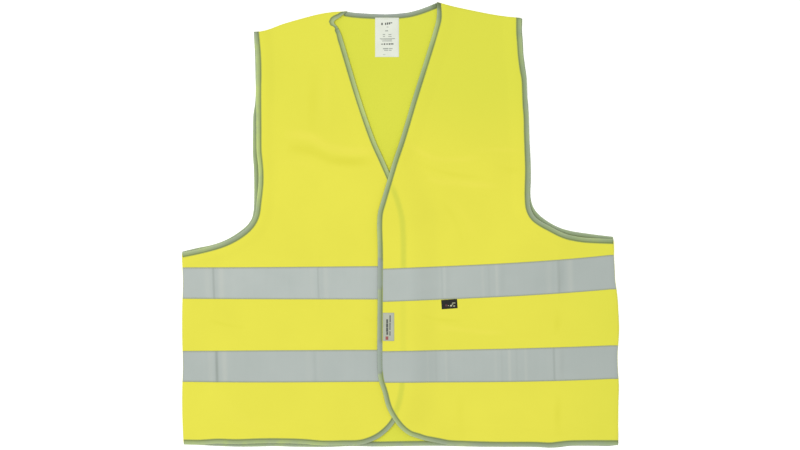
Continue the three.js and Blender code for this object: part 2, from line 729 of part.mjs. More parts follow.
/**
 * Lays a grid of points over a front: rows run from the outer edge (side seam and armhole) to the
 * inner edge (round corner, centre and V), and rows 0 and 1 follow the hem. The first and last
 * columns are the cloth's edges, and the next ones end the straight strips under the bindings.
 * hand is 1 for the right front and -1 for the left one.
 */
function frontPanel({ side, armhole, frontEdge, shoulder, hand, rows, columns, splitY, height }) {
  const splitAt = frontEdge.findIndex((point) => point.y < splitY);
  const innerLine = frontEdge.slice(0, splitAt + 1);
  const innerStation = (y) => squareStation(crossing(innerLine, "y", y), hand);

  // The columns' places as shares of the way between the two edge strips.
  const margin = hand * (LAYER + FLAT_EDGE);
  const outerX = side[0].x + margin;
  const innerX = crossing(innerLine, "y", CENTRE_Y).point.x - margin;
  const shares = columns.map((x) => (x - outerX) / (innerX - outerX));

  // Rows 0 and 1 along the hem. Three stations share the strip's corner point.
  const hemStations = hemStationsOf(frontEdge.slice(splitAt), shares, hand);
  const last = hemStations.length - 1;
  const firstInner = innerStation(innerLine[splitAt].y + CORNER_STEP);
  hemStations[last - 1].inner = hemStations[last].inner;
  firstInner.inner = hemStations[last].inner;
  const innerStations = [hemStations[last], firstInner];
  const grid = [
    hemStations.map((station) => station.edge),
    [...hemStations.slice(0, last).map((station) => station.inner), firstInner.edge],
  ];
  const addRow = (ends, innerY, sag) => {
    const station = innerStation(innerY);
    innerStations.push(station);
    grid.push(rowAcross(ends, station, shares, sag));
  };

  // Rows that start at the side seam.
  rows.below.forEach(({ outer, inner, sag }) => {
    const edge = crossing(side, "y", outer).point;
    addRow({ edge, inner: edge.clone().add(new THREE.Vector3(hand * FLAT_EDGE, 0, 0)) }, inner, sag);
  });

  // The underarm corner, where the armhole's binding starts at the side seam.
  const armStations = [
    seamStation({ point: armhole[0], direction: direction(armhole, 0) }, DOWN),
    ...rows.above.map(({ outer }) => squareStation(crossing(armhole, "y", outer), hand)),
  ];
  const corner = armStations[0].inner.clone().lerp(armStations[1].inner, 0.5);
  const belowCorner = grid[grid.length - 1][1].clone().lerp(corner, 0.5);
  addRow({ edge: armStations[0].inner, inner: belowCorner }, rows.corner[0].inner, rows.corner[0].sag);
  addRow({ edge: armStations[0].edge, inner: corner }, rows.corner[1].inner, rows.corner[1].sag);

  // Rows that start at the armhole.
  rows.above.forEach(({ inner }, i) => addRow(armStations[i + 1], inner));

  // The shoulder row, between the ends of the two bindings.
  const tip = seamStation(
    { point: armhole[armhole.length - 1], direction: direction(armhole, armhole.length - 2) },
    direction(shoulder, 0),
  );
  const neck = seamStation(
    { point: frontEdge[0], direction: direction(frontEdge, 0) },
    direction(shoulder, shoulder.length - 2).negate(),
  );
  const onShoulder = (x) => crossing(shoulder, "x", x).point;
  [tip, neck].forEach((station) => {
    station.edge = onShoulder(station.edge.x);
    station.inner = onShoulder(station.inner.x);
  });
  const across = shares.map((t) => onShoulder(THREE.MathUtils.lerp(tip.inner.x, neck.inner.x, t)));
  grid.push([tip.edge, tip.inner, ...across, neck.inner, neck.edge]);
  armStations.push(tip);
  innerStations.push(neck);

  grid.flat().forEach((point) => {
    point.z = height(point);
  });
  const edgeStations = [...innerStations.reverse(), ...hemStations.slice(0, last).reverse()];
  return { grid, armStations, edgeStations };
}

/** The direction of a line from one of its samples to the next. */
function direction(line, at) {
  return line[at + 1].clone().sub(line[at]).normalize();
}

/** The strip of a panel's grid under a tape, from the side seam to just before the centre binding. */
function tapeGrid(grid, { from, to }) {
  const beside = (BINDING_WIDTH + GAP - LAYER) / FLAT_EDGE;
  return grid.slice(from, to + 1).map((row) => {
    const [inner, edge] = row.slice(-2);
    return [...row.slice(0, -2), edge.clone().lerp(inner, beside)];
  });
}

const rightFront = frontPanel({
  side: lines.sideRight,
  armhole: lines.frontArmholeRight,
  frontEdge: lines.frontEdgeRight,
  shoulder: lines.shoulderRight,
  hand: 1,
  rows: ROWS_RIGHT,
  columns: COLUMNS_RIGHT,
  splitY: -317,
  height: rightHeight,
});
const leftFront = frontPanel({
  side: lines.sideLeft,
  armhole: lines.frontArmholeLeft,
  frontEdge: lines.frontEdgeLeft,
  shoulder: lines.shoulderLeft,
  hand: -1,
  rows: ROWS_LEFT,
  columns: COLUMNS_LEFT,
  splitY: -318,
  height: leftHeight,
});

// ---- The back -------------------------------------------------------------------------------------
const backStations = {
  hem: evenStations(lines.backHem, BACK_STATIONS.hem, -1, { first: UP, last: UP }),
  armholeRight: evenStations(lines.backArmholeRight, BACK_STATIONS.armhole, 1, {
    first: DOWN,
    last: direction(lines.shoulderRight, 0),
  }),
  armholeLeft: evenStations(lines.backArmholeLeft, BACK_STATIONS.armhole, -1, {
    first: DOWN,
    last: direction(lines.shoulderLeft, 0),
  }),
  neck: evenStations(lines.backNeck, BACK_STATIONS.neck, 1),
};
Object.values(backStations).flat().forEach((station) => {
  station.edge.z = BACK_BOTTOM;
  station.inner.z = BACK_BOTTOM;
});

/** The rows of a side or shoulder line that lie strictly between two limits. */
function between(line, axis, low, high) {
  return line.filter((point, i) => i % 6 === 3 && point[axis] > low + 4 && point[axis] < high - 4);
}

function backOutline() {
  const edges = (stations) => stations.map((station) => station.edge);
  const hem = edges(backStations.hem);
  const armLeft = edges(backStations.armholeLeft);
  const neck = edges(backStations.neck).reverse();
  const armRight = edges(backStations.armholeRight).reverse();
  return [
    ...hem,
    ...between(lines.sideLeft, "y", hem[hem.length - 1].y, armLeft[0].y),
    ...armLeft,
    ...between(lines.shoulderLeft, "x", neck[0].x, armLeft[armLeft.length - 1].x),
    ...neck,
    ...between(lines.shoulderRight, "x", armRight[0].x, neck[neck.length - 1].x).reverse(),
    ...armRight,
    ...between(lines.sideRight, "y", hem[0].y, armRight[armRight.length - 1].y).reverse(),
  ];
}

/** A back tape, whose ends meet the front's tape at the side seams. */
function backTapeOutline({ from, to }) {
  const level = (rows, at) => rows.below[at - FIRST_TABLE_ROW].outer;
  const corner = (line, y) => crossing(line, "y", y).point;
  return [
    corner(lines.sideRight, level(ROWS_RIGHT, from)),
    corner(lines.sideLeft, level(ROWS_LEFT, from)),
    corner(lines.sideLeft, level(ROWS_LEFT, to)),
    corner(lines.sideRight, level(ROWS_RIGHT, to)),
  ];
}

// ---- The vest ---------------------------------------------------------------------------------------
const vest = new THREE.Group();

function add(name, finish, geometry) {
  const mesh = new THREE.Mesh(geometry, new THREE.MeshStandardMaterial(FINISH[finish]));
  mesh.name = name;
  vest.add(mesh);
}

/** The lowest level at which a small flat piece clears a panel below it. */
function levelOver(height, { x, y, width, height: length }) {
  let top = -Infinity;
  for (let i = -2; i <= 2; i += 1) {
    for (let j = -2; j <= 2; j += 1) {
      top = Math.max(top, height({ x: x + (i * width) / 4, y: y + (j * length) / 4 }));
    }
  }
  return top + CLOTH + GAP;
}

add("back_panel", "yellow", flatGeometry(backOutline(), BACK_BOTTOM));
add("back_tape_upper", "tape", flatGeometry(backTapeOutline(TAPES.upper), 0));
add("back_tape_lower", "tape", flatGeometry(backTapeOutline(TAPES.lower), 0));
add("back_neck_binding", "binding", bindingGeometry(backStations.neck));
add("back_hem_binding", "binding", bindingGeometry(backStations.hem));
add("back_armhole_binding_right", "binding", bindingGeometry(backStations.armholeRight));
add("back_armhole_binding_left", "binding", bindingGeometry(backStations.armholeLeft));

Object.entries({ right: rightFront, left: leftFront }).forEach(([hand, front]) => {
  add(`front_${hand}_panel`, "yellow", sheetGeometry(front.grid, 0, CLOTH));
  add(`front_${hand}_tape_upper`, "tape", sheetGeometry(tapeGrid(front.grid, TAPES.upper), LAYER, CLOTH));
  add(`front_${hand}_tape_lower`, "tape", sheetGeometry(tapeGrid(front.grid, TAPES.lower), LAYER, CLOTH));
  add(`front_${hand}_binding`, "binding", bindingGeometry(front.edgeStations));
  add(`front_armhole_binding_${hand}`, "binding", bindingGeometry(front.armStations));
});

add("care_label", "label", patchGeometry(CARE_LABEL, FRONT_BOTTOM));
add("black_label", "black", patchGeometry(BLACK_LABEL, levelOver(leftHeight, BLACK_LABEL)));
add("tab_label", "tab", patchGeometry(TAB_LABEL, levelOver(leftHeight, TAB_LABEL)));
add("loop_strip", "fastener", patchGeometry(CLOSURE, levelOver(rightHeight, CLOSURE)));
add("hook_strip", "fastener", patchGeometry(CLOSURE, leftHeight(CLOSURE) - LAYER));

export default vest;
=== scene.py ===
import math

import bpy
import numpy as np
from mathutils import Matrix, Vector, geometry


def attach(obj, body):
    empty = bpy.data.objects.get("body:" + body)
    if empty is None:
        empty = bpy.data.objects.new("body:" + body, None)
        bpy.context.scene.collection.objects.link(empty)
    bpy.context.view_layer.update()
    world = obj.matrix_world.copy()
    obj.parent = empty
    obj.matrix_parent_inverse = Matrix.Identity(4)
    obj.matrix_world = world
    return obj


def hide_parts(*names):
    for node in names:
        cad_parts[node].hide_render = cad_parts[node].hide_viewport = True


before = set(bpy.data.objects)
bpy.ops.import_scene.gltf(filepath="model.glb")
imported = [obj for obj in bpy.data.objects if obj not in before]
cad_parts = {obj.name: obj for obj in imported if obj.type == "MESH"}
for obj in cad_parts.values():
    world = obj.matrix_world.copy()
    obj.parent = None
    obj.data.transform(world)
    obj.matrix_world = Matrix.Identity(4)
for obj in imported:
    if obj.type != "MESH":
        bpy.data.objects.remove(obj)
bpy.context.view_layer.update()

MM = 0.001

# ---- Driving sizes, as in the CAD model ----
CLOTH = 1.0 * MM
GAP = 0.3 * MM
LAYER = CLOTH + GAP
BINDING_WIDTH = 8.0 * MM
BACK_BOTTOM = LAYER
FRONT_BOTTOM = BACK_BOTTOM + LAYER
EDGE_PLATEAU, EDGE_FALL = 12 * MM, 20 * MM
LAP_PLATEAU, LAP_FALL = 6 * MM, 48 * MM
HANDS = {"right": 1, "left": -1}

# Fine sizes of the visible cloth.
SHELL = 0.6 * MM            # thickness of the visible yellow cloth, at the top of the CAD wall
SAMPLE_STEP = 2.0 * MM      # samples along an outline
FRONT_MESH = 2.8 * MM       # spacing of the cloth's vertices
BACK_MESH = 4.2 * MM
TAPE_RISE = 0.5 * MM        # height of a tape's upper face over the cloth
TAPE_WALL = 0.32 * MM
TAPE_UNDER = 0.06 * MM      # gap from the back's lower face to the tapes beneath it
BINDING_RISE = TAPE_RISE - 0.1 * MM     # how far a binding rises over a tape
BINDING_STEP = 3.0 * MM
SEAM_BLEND = 12 * MM        # length over which a binding's end turns to lie along a seam
SWELL = 0.16 * MM           # size of the cloth's slow, irregular swell
SWELL_SEEDS = {"right": 3, "left": 8, "back": 21}
BACK_SAG = 0.45 * MM        # how far the back sinks towards the floor between its bindings
SEAM_ROLL = 0.45 * MM       # how far front and back turn towards each other at sides and shoulders
ROLL_PLATEAU, ROLL_FALL = 0.5 * MM, 5 * MM
STITCH_PITCH = 3.4 * MM
STITCH_LENGTH = 2.5 * MM
STITCH_RADIUS = 0.22 * MM
STITCH_INSET = 6.6          # millimetres from a binding's outer face to its stitches
STITCH_OVER, STITCH_UNDER = 0.48 * MM, 0.40 * MM    # a binding's stitches off the cloth's faces
TAPE_STITCH_INSET = 1.5 * MM
TAPE_STITCH_OVER, TAPE_STITCH_UNDER = 0.06 * MM, -TAPE_WALL - 0.05 * MM
PRINT_RISE = 0.04 * MM

# ---- Finished outlines in millimetres, rows of (x, y) ----
OUTLINES = {
    "side_right": [
        (-335.5, -341), (-337.8, -300), (-338, -255), (-336.9, -220), (-337.9, -185), (-338.2, -150),
        (-337.8, -120), (-336.8, -92), (-337.8, -62), (-338.3, -40),
    ],
    "side_left": [
        (337.5, -342), (337.9, -300), (338.2, -275), (338.9, -250), (337.2, -225), (336.8, -200),
        (338.2, -183), (339.2, -160), (338.2, -138), (337.2, -118), (335.2, -101), (333.2, -88), (332.3, -70),
        (331.4, -52), (331, -34), (330, -18),
    ],
    "front_armhole_right": [
        (-338.3, -43.4), (-316.2, -38.8), (-292.5, -33), (-272, -26.2), (-250.8, -15), (-234.8, -1.4),
        (-226.4, 13.2), (-222.6, 38), (-220, 62), (-219.8, 80), (-220.8, 95), (-222.6, 112), (-223, 150),
        (-223.3, 205), (-223, 240), (-223.9, 265), (-227, 298.4),
    ],
    "back_armhole_right": [
        (-338.3, -42), (-315, -36.4), (-291, -31.4), (-268.5, -23), (-247.6, -9.8), (-236.5, 0), (-230.2, 10),
        (-227.6, 22), (-226.8, 40), (-227.2, 85), (-228.7, 110), (-228.6, 145), (-228, 170), (-225.4, 188),
        (-224.4, 205), (-224.8, 230), (-225.5, 262), (-227.5, 299),
    ],
    "front_armhole_left": [
        (330.1, -22.2), (306, -21.4), (294, -20.8), (283, -19.9), (271, -18), (260, -15.6), (248, -11),
        (232.9, -3.1), (219, 4.5), (208.9, 12.4), (202.6, 24), (200.6, 42), (201.2, 84.5), (200.2, 118),
        (199.4, 142), (199, 165), (197.4, 185), (196.6, 205), (195.6, 225), (192.6, 242), (190, 262),
        (188.6, 282), (187.4, 300), (187.4, 320),
    ],
    "back_armhole_left": [
        (330, -19), (294, -14.6), (263, -9.7), (247.6, -5), (232.1, 2.7), (217, 13.6), (208.6, 23), (204, 33),
        (202, 46), (202.6, 70), (202.2, 100), (200.8, 125), (199.8, 155), (198.6, 185), (196.4, 205),
        (196.2, 226), (193.6, 246), (191.2, 265), (190.2, 285), (189, 300), (189.4, 319.5),
    ],
    "shoulder_right": [
        (-227, 298.4), (-216.5, 299), (-202, 303), (-186.4, 309.2), (-155.4, 318.5), (-124.4, 326.3),
        (-105, 329), (-82, 330.2),
    ],
    "shoulder_left": [(187.4, 320), (170, 321.6), (139, 326.3), (108, 332.5), (77, 339.2), (56.5, 344.6)],
    "back_neck": [
        (-86.5, 331), (-78, 329.6), (-70, 328.6), (-45, 327), (-20, 326.3), (0, 327.6), (15, 329.6),
        (31, 334), (46, 339.6), (56, 343.8),
    ],
    "back_hem": [
        (-335.5, -341), (-311, -342.2), (-285, -343.7), (-255, -344.8), (-225, -344.7), (-195, -344),
        (-165, -344.9), (-110, -345.2), (-78, -344), (-35, -344.6), (0, -344), (60, -343.5), (100, -344.4),
        (130, -345), (205, -345.1), (232, -346.4), (246, -345.8), (262, -343.8), (300, -343.5), (325, -343.7),
        (337.5, -342),
    ],
    "front_edge_right": [
        (-82, 330.2), (-92.8, 321.8), (-103.2, 313.6), (-97.6, 306.4), (-92.8, 297.4), (-88.6, 285),
        (-79.6, 255), (-60.8, 193), (-39.1, 131), (-25.2, 100), (-13, 72), (-1.5, 42), (6.5, 12), (9, -20),
        (9, -130), (8.5, -230), (5.5, -262), (-1, -287), (-6.8, -304), (-17.7, -318.3), (-34.9, -331.7),
        (-59.2, -340.8), (-90, -342.2), (-120, -342.6), (-150, -340.2), (-180, -339.2), (-215, -339.2),
        (-255, -340.5), (-282, -339.7), (-310, -341.3), (-335.5, -341),
    ],
    "front_edge_left": [
        (56.5, 344.6), (56.6, 321.6), (50.8, 298), (37.5, 254.4), (18.2, 192.6), (-0.3, 130.6), (-10.8, 99.4),
        (-20.1, 68.4), (-29.1, 37.9), (-34.6, 18), (-35.8, 0), (-34.8, -40), (-35, -110), (-35, -226),
        (-32.8, -242.4), (-27.1, -260.3), (-21, -282.8), (-10.9, -301.8), (2.8, -318.4), (15, -327.1),
        (26.3, -330.8), (37.3, -334.5), (49.1, -336.9), (60.8, -339.1), (72.5, -341.5), (84.5, -342.5),
        (96.6, -342.9), (120.7, -343.8), (150, -344.5), (205, -344.6), (217, -345), (232, -345.6),
        (245, -344.3), (260, -342.6), (290, -342), (337.5, -342),
    ],
}

# Tape edges in millimetres: level at the side and at the centre, and sag of the stretch between.
TAPE_EDGES = {
    "right": {
        "lower": [(-243.9, -243.3, -1), (-196.2, -194.2, 0)],
        "upper": [(-115, -116, -0.3), (-66.7, -64.3, -0.5)],
    },
    "left": {
        "lower": [(-239.3, -244.8, -2.1), (-187.6, -196.4, -1.1)],
        "upper": [(-100.4, -119.7, -2.4), (-47.4, -68.6, -3)],
    },
}
TAPE_SPAN = {"right": (-329.0, -1.3), "left": (326.0, -25.7)}   # where a tape's slant starts and ends


# ---- Lines in plan ----
def steps_of(line):
    return np.linalg.norm(np.diff(line, axis=0), axis=1)


def run_of(line):
    """Distance along a line to each of its points."""
    return np.concatenate([[0], np.cumsum(steps_of(line))])


def unit(vectors):
    return vectors / np.linalg.norm(vectors, axis=1)[:, None]


def right_of(vectors):
    """Vectors in plan turned a quarter to the right."""
    return np.stack([vectors[:, 1], -vectors[:, 0]], axis=1)


def resample(line, step):
    """The same line with its points evenly spaced."""
    run = run_of(line)
    at = np.linspace(0, run[-1], max(int(round(run[-1] / step)), 1) + 1)
    return np.stack([np.interp(at, run, line[:, k]) for k in range(2)], axis=1)


def smooth_line(table):
    """Evenly spaced points of a centripetal Catmull-Rom line through a table, in metres."""
    knots = np.array(table, float) * MM
    ext = np.vstack([2 * knots[0] - knots[1], knots, 2 * knots[-1] - knots[-2]])
    t = np.linspace(0, 1, 60, endpoint=False)[:, None]
    dense = []
    for p0, p1, p2, p3 in zip(ext, ext[1:], ext[2:], ext[3:]):
        t0, t1, t2 = (max(np.linalg.norm(q - p) ** 0.5, 1e-4) for p, q in ((p0, p1), (p1, p2), (p2, p3)))
        m1 = ((p1 - p0) / t0 - (p2 - p0) / (t0 + t1) + (p2 - p1) / t1) * t1
        m2 = ((p2 - p1) / t1 - (p3 - p1) / (t1 + t2) + (p3 - p2) / t2) * t1
        a = 2 * p1 - 2 * p2 + m1 + m2
        b = -3 * p1 + 3 * p2 - 2 * m1 - m2
        dense.append(a * t ** 3 + b * t ** 2 + m1 * t + p1)
    return resample(np.vstack(dense + [knots[-1:]]), SAMPLE_STEP)


def inward_normals(line, hand):
    """Unit normals of a line; hand is 1 where the cloth is on its right."""
    return hand * right_of(unit(np.gradient(line, axis=0)))


def square_distances(line, points):
    dx = points[:, 0:1] - line[None, :, 0]
    dy = points[:, 1:2] - line[None, :, 1]
    return dx * dx + dy * dy


def distance_to(line, points):
    """Distance of each point to the nearest sample of a line."""
    out = np.empty(len(points))
    for at in range(0, len(points), 4000):
        out[at:at + 4000] = np.sqrt(square_distances(line, points[at:at + 4000]).min(axis=1))
    return out


def inside(outline, points):
    """True for each point that lies inside a closed outline."""
    within = np.zeros(len(points), bool)
    x, y = points[:, 0], points[:, 1]
    for a, b in zip(outline, np.roll(outline, -1, axis=0)):
        if a[1] != b[1]:
            level = (a[1] > y) != (b[1] > y)
            within ^= level & (x < a[0] + (y - a[1]) / (b[1] - a[1]) * (b[0] - a[0]))
    return within


def fall(distance, plateau, width):
    """1 up to a distance, then a soft slope down to 0."""
    t = np.clip((distance - plateau) / width, 0, 1)
    return 1 - t * t * (3 - 2 * t)


def twice_area(outline):
    """Twice the area of a closed outline, below 0 where it runs clockwise."""
    x, y = outline[:, 0], outline[:, 1]
    return np.sum(x * np.roll(y, -1) - np.roll(x, -1) * y)


LINES = {name: smooth_line(table) for name, table in OUTLINES.items()}
FINISHED = {
    hand: np.vstack([LINES[f"{k}_{hand}"] for k in ("front_edge", "side", "front_armhole", "shoulder")])
    for hand in HANDS
}
BACK_BOUND = np.vstack([LINES[f"back_{k}"] for k in ("armhole_right", "armhole_left", "neck", "hem")])

# ---- Heights ----
# Broad ridges, as in the CAD model: middle x and y, length, turn in degrees, half width, height.
RIDGES = {
    "right": [
        (-289, -92, 120, 90, 9, 0.8), (-126, -90, 130, 90, 9, 0.7), (-289, -220, 110, 90, 9, 0.8),
        (-126, -222, 90, 90, 9, 0.4), (-140, 117, 190, 0, 17, 0.9), (-90, 102, 110, -12, 18, 0.7),
    ],
    "left": [
        (71, -88, 90, 90, 9, 0.5), (155, -82, 90, 90, 9, 0.4), (246, -80, 100, 90, 9, 0.8),
        (71, -220, 90, 90, 9, 0.4), (246, -215, 100, 90, 9, 0.8), (125, 113, 150, 0, 17, 0.8),
        (92, 80, 160, -16, 18, 0.8),
    ],
    "back": [],
}
# Fine creases: points of each line, half width and height (below 0 for a trough).
CREASES = {
    "right": [
        ([(-288, -50), (-289, -92), (-288, -135)], 3, 0.3),
        ([(-282, -60), (-283, -92), (-282, -120)], 3, -0.18),
        ([(-126, -40), (-126, -92), (-125, -140)], 2.6, 0.26),
        ([(-286, -175), (-286, -220), (-285, -270)], 3, 0.3),
        ([(-126, -180), (-126, -222), (-127, -262)], 3, 0.16),
        ([(-211, 114), (-143, 120), (-121, 108), (-103, 98.5), (-39, 98.5)], 5, 0.3),
        ([(-205, 104), (-150, 110), (-128, 99), (-105, 89), (-60, 88)], 8, -0.25),
        ([(-190, 210), (-150, 232), (-120, 238)], 16, 0.25), ([(-208, 30), (-150, 22), (-80, 30)], 20, 0.25),
        ([(-240, -275), (-200, -300), (-170, -322)], 14, 0.25),
        ([(-70, -150), (-40, -165), (-15, -190)], 12, 0.2),
    ],
    "left": [
        ([(71, -52), (71, -92), (70, -130)], 2.6, 0.2), ([(155, -50), (155, -85), (156, -120)], 2.6, 0.16),
        ([(246, -40), (246, -85), (244, -128)], 3, 0.28), ([(71, -180), (71, -220), (72, -255)], 2.8, 0.16),
        ([(239, -170), (238, -215), (240, -262)], 3, 0.3), ([(71, 114), (125, 112), (179, 114)], 5, 0.26),
        ([(20, 98.5), (52, 86), (76, 75), (102, 69), (166, 63)], 5, 0.28),
        ([(22, 90), (54, 77), (78, 66), (104, 60), (160, 54)], 8, -0.22),
        ([(-14, 52), (3, 11.6), (7.4, -16), (7.4, -52)], 4, 0.45),
        ([(4.3, -247), (1, -270), (-2, -289)], 4, 0.35), ([(60, 262), (95, 250), (150, 262)], 18, 0.25),
        ([(110, -150), (160, -140), (215, -145)], 9, 0.2),
        ([(130, -300), (190, -285), (260, -292)], 16, 0.25),
    ],
    "back": [
        ([(-289, -40), (-289, -150), (-288, -300)], 4, -0.22),
        ([(-126, -60), (-126, -180), (-125, -290)], 4, -0.2), ([(71, -30), (71, -160), (72, -300)], 4, -0.2),
        ([(246, -40), (245, -170), (246, -280)], 4, -0.22),
        ([(-200, 118), (-60, 112), (60, 116), (180, 112)], 6, -0.25),
        ([(-150, 40), (-40, 20), (90, 36)], 14, -0.2), ([(-10, 290), (-14, 220), (-10, 150)], 8, 0.2),
    ],
}
# Painted highlight and painted shade along the folds' ridges: points, half width and how pale the painted
# highlight is (below 0, how deep the painted shade).
FOLD_SHADING = {
    "right": [
        ([(-182, 139.5), (-158, 139.5), (-135, 134), (-116, 122.5), (-85, 114.7), (-34, 113)], 12, 0.8),
        ([(-176, 119), (-139, 114), (-108, 101), (-77, 97.5), (-40, 99)], 13, -1),
        ([(-196, 96), (-150, 94), (-120, 84)], 8, 0.25), ([(-134, 250), (-136, 190), (-139, 142)], 12, -0.35),
        ([(-112, 250), (-116, 190), (-116, 150)], 10, 0.25),
        ([(-300, -148), (-268, -156), (-240, -160)], 5, -0.4),
        ([(-60, -142), (-36, -152), (-14, -150)], 5, -0.35),
        ([(-70, -166), (-40, -172), (-14, -168)], 6, 0.3),
        ([(-320, -215), (-250, -300), (-180, -325)], 16, 0.2),
    ],
    "left": [
        ([(12, 126), (39, 108), (58, 101.5), (93, 100.5), (124, 105)], 8, 0.6),
        ([(39, 74), (58, 67), (93, 64), (155, 59)], 8.5, 0.7),
        ([(20, 97), (62, 82), (93, 76), (132, 72)], 6, -0.4), ([(116, 114), (158, 116), (196, 112)], 6, 0.35),
        ([(150, 90), (176, 84), (200, 90)], 8, -0.3), ([(60, 40), (84, 8), (98, -30)], 7, -0.25),
        ([(76, 44), (100, 14), (118, -24)], 8, 0.2),
        ([(52, -159), (92, -163), (130, -167), (166, -168)], 6.5, 0.7),
        ([(30, -140), (58, -147), (96, -150)], 5, -0.5), ([(243, -132), (244, -152), (240, -172)], 8, -0.5),
        ([(246, -262), (244, -300), (246, -330)], 9, -0.55),
        ([(96, -262), (92, -300), (96, -332)], 10, -0.25),
    ],
}


def bell(t):
    """A soft hump that is 1 at 0 and ends at -1 and 1."""
    return np.where(np.abs(t) < 1, np.cos(np.pi / 2 * np.clip(t, -1, 1)) ** 2, 0)


def ridge_height(points, ridges):
    total = np.zeros(len(points))
    for x, y, length, turn, width, height in ridges:
        c, s = math.cos(math.radians(turn)), math.sin(math.radians(turn))
        dx, dy = points[:, 0] - x * MM, points[:, 1] - y * MM
        along, across = dx * c + dy * s, dy * c - dx * s
        total += height * MM * bell(2 * along / (length * MM)) * bell(across / (width * MM))
    return total


def along_creases(points, creases):
    """Sum of the fine creases' strengths; each fades out at both ends and varies along its length."""
    total = np.zeros(len(points))
    for number, (table, width, height) in enumerate(creases):
        line = smooth_line(table)
        low, high = line.min(axis=0) - width * MM, line.max(axis=0) + width * MM
        near = np.flatnonzero(((points > low) & (points < high)).all(axis=1))
        if len(near) == 0:
            continue
        square = square_distances(line, points[near])
        t = square.argmin(axis=1) / (len(line) - 1)
        strength = np.sin(np.pi * t) ** 0.6 * (0.8 + 0.2 * np.sin(9 * t + number))
        total[near] += height * strength * bell(np.sqrt(square.min(axis=1)) / (width * MM))
    return total


def swell(points, seed):
    """Slow, irregular waves as a sum of sines with seeded directions and lengths."""
    draw = np.random.default_rng(seed)
    longest = 0.16
    total = np.zeros(len(points))
    for _ in range(14):
        angle = draw.uniform(0, math.pi)
        wave = draw.uniform(0.035, longest)
        shift = draw.uniform(0, 2 * math.pi)
        run = points[:, 0] * math.cos(angle) + points[:, 1] * math.sin(angle)
        bent = run + 0.02 * np.sin(7 * points[:, 0] + 11 * points[:, 1] + shift)
        total += (wave / longest) ** 0.7 * np.sin(2 * math.pi * bent / wave + shift)
    flatter = fall(-points[:, 1], -120 * MM, 90 * MM)      # the chest and shoulders lie flatter
    return SWELL * total / 5 * (1 - 0.6 * flatter)


def fine_height(points, part):
    return MM * along_creases(points, CREASES[part]) + swell(points, SWELL_SEEDS[part])


def lift_back(points):
    return fall(distance_to(BACK_BOUND, points), EDGE_PLATEAU, EDGE_FALL)


def seam_roll(points, hand):
    lines = [LINES[f"side_{hand}"], LINES[f"shoulder_{hand}"]]
    return fall(distance_to(np.vstack(lines), points), ROLL_PLATEAU, ROLL_FALL)


def front_top(points, hand):
    """Upper face of a front's cloth."""
    points = np.asarray(points, float)
    other = FINISHED["left" if hand == "right" else "right"]
    own_bound = np.vstack([LINES[f"front_edge_{hand}"], LINES[f"front_armhole_{hand}"]])
    own = fall(distance_to(own_bound, points), EDGE_PLATEAU, EDGE_FALL)
    to_other = np.where(inside(other, points), 0, distance_to(other, points))
    lap = fall(to_other, LAP_PLATEAU, LAP_FALL)
    layers = np.maximum(own, lap) + lift_back(points) + (3 * lap if hand == "left" else 0)
    free = 1 - 0.9 * own if hand == "left" else (1 - 0.9 * own) * (1 - lap)
    fine = fine_height(points, hand) * free - SEAM_ROLL * seam_roll(points, hand)
    return FRONT_BOTTOM + CLOTH + LAYER * layers + ridge_height(points, RIDGES[hand]) + fine


def back_top(points):
    """Upper face of the back's cloth, in the lower part of its solid's wall."""
    points = np.asarray(points, float)
    edges = np.maximum(seam_roll(points, "right"), seam_roll(points, "left"))
    firm = np.maximum(lift_back(points), edges)
    fine = 0.5 * fine_height(points, "back") * (1 - firm)
    return BACK_BOTTOM + SHELL - BACK_SAG * (1 - firm) + SEAM_ROLL * 1.2 * edges + fine


def top_of(part, points):
    return back_top(points) if part == "back" else front_top(points, part)


def tape_level(x, edge, hand):
    """Level in millimetres of a tape's edge at a place across a front."""
    outer, inner, sag = edge
    ends = TAPE_SPAN[hand]
    t = np.clip((x / MM - ends[0]) / (ends[1] - ends[0]), 0, 1)
    return outer + (inner - outer) * t + sag * 4 * t * (1 - t) * (1.4 - 0.8 * t)


def on_tape(points, hand):
    """1 on a front's tapes and 0 off them, with soft edges."""
    y, soft = points[:, 1] / MM, 1.5
    share = np.zeros(len(points))
    for edges in TAPE_EDGES[hand].values():
        low, high = (tape_level(points[:, 0], edge, hand) for edge in edges)
        above, under = (np.clip(off / soft + 0.5, 0, 1) for off in (y - low, high - y))
        share = np.maximum(share, above * under)
    return share


# ---- Meshes ----
def outward(points, faces):
    """The faces of a closed mesh, turned so that they look out of it."""
    fans = np.array([(f[0], f[k], f[k + 1]) for f in faces for k in range(1, len(f) - 1)])
    a, b, c = (points[fans[:, k]] for k in range(3))
    if np.sum(a * np.cross(b, c)) < 0:
        return [f[::-1] for f in faces]
    return faces


def place_object(name, data):
    """A new object of some data, in the scene."""
    obj = bpy.data.objects.new(name, data)
    bpy.context.scene.collection.objects.link(obj)
    return obj


def make_object(name, points, faces, finish, attributes=None):
    """A smooth-shaded mesh object with its material and its named vertex attributes."""
    faces = outward(points, faces)
    mesh = bpy.data.meshes.new(name)
    mesh.from_pydata([tuple(p) for p in points], [], [tuple(int(i) for i in f) for f in faces])
    for label, values in (attributes or {}).items():
        layer = mesh.attributes.new(label, "FLOAT", "POINT")
        layer.data.foreach_set("value", np.asarray(values, np.float32))
    mesh.shade_smooth()
    mesh.update()
    mesh.materials.append(finish)
    return place_object(name, mesh)


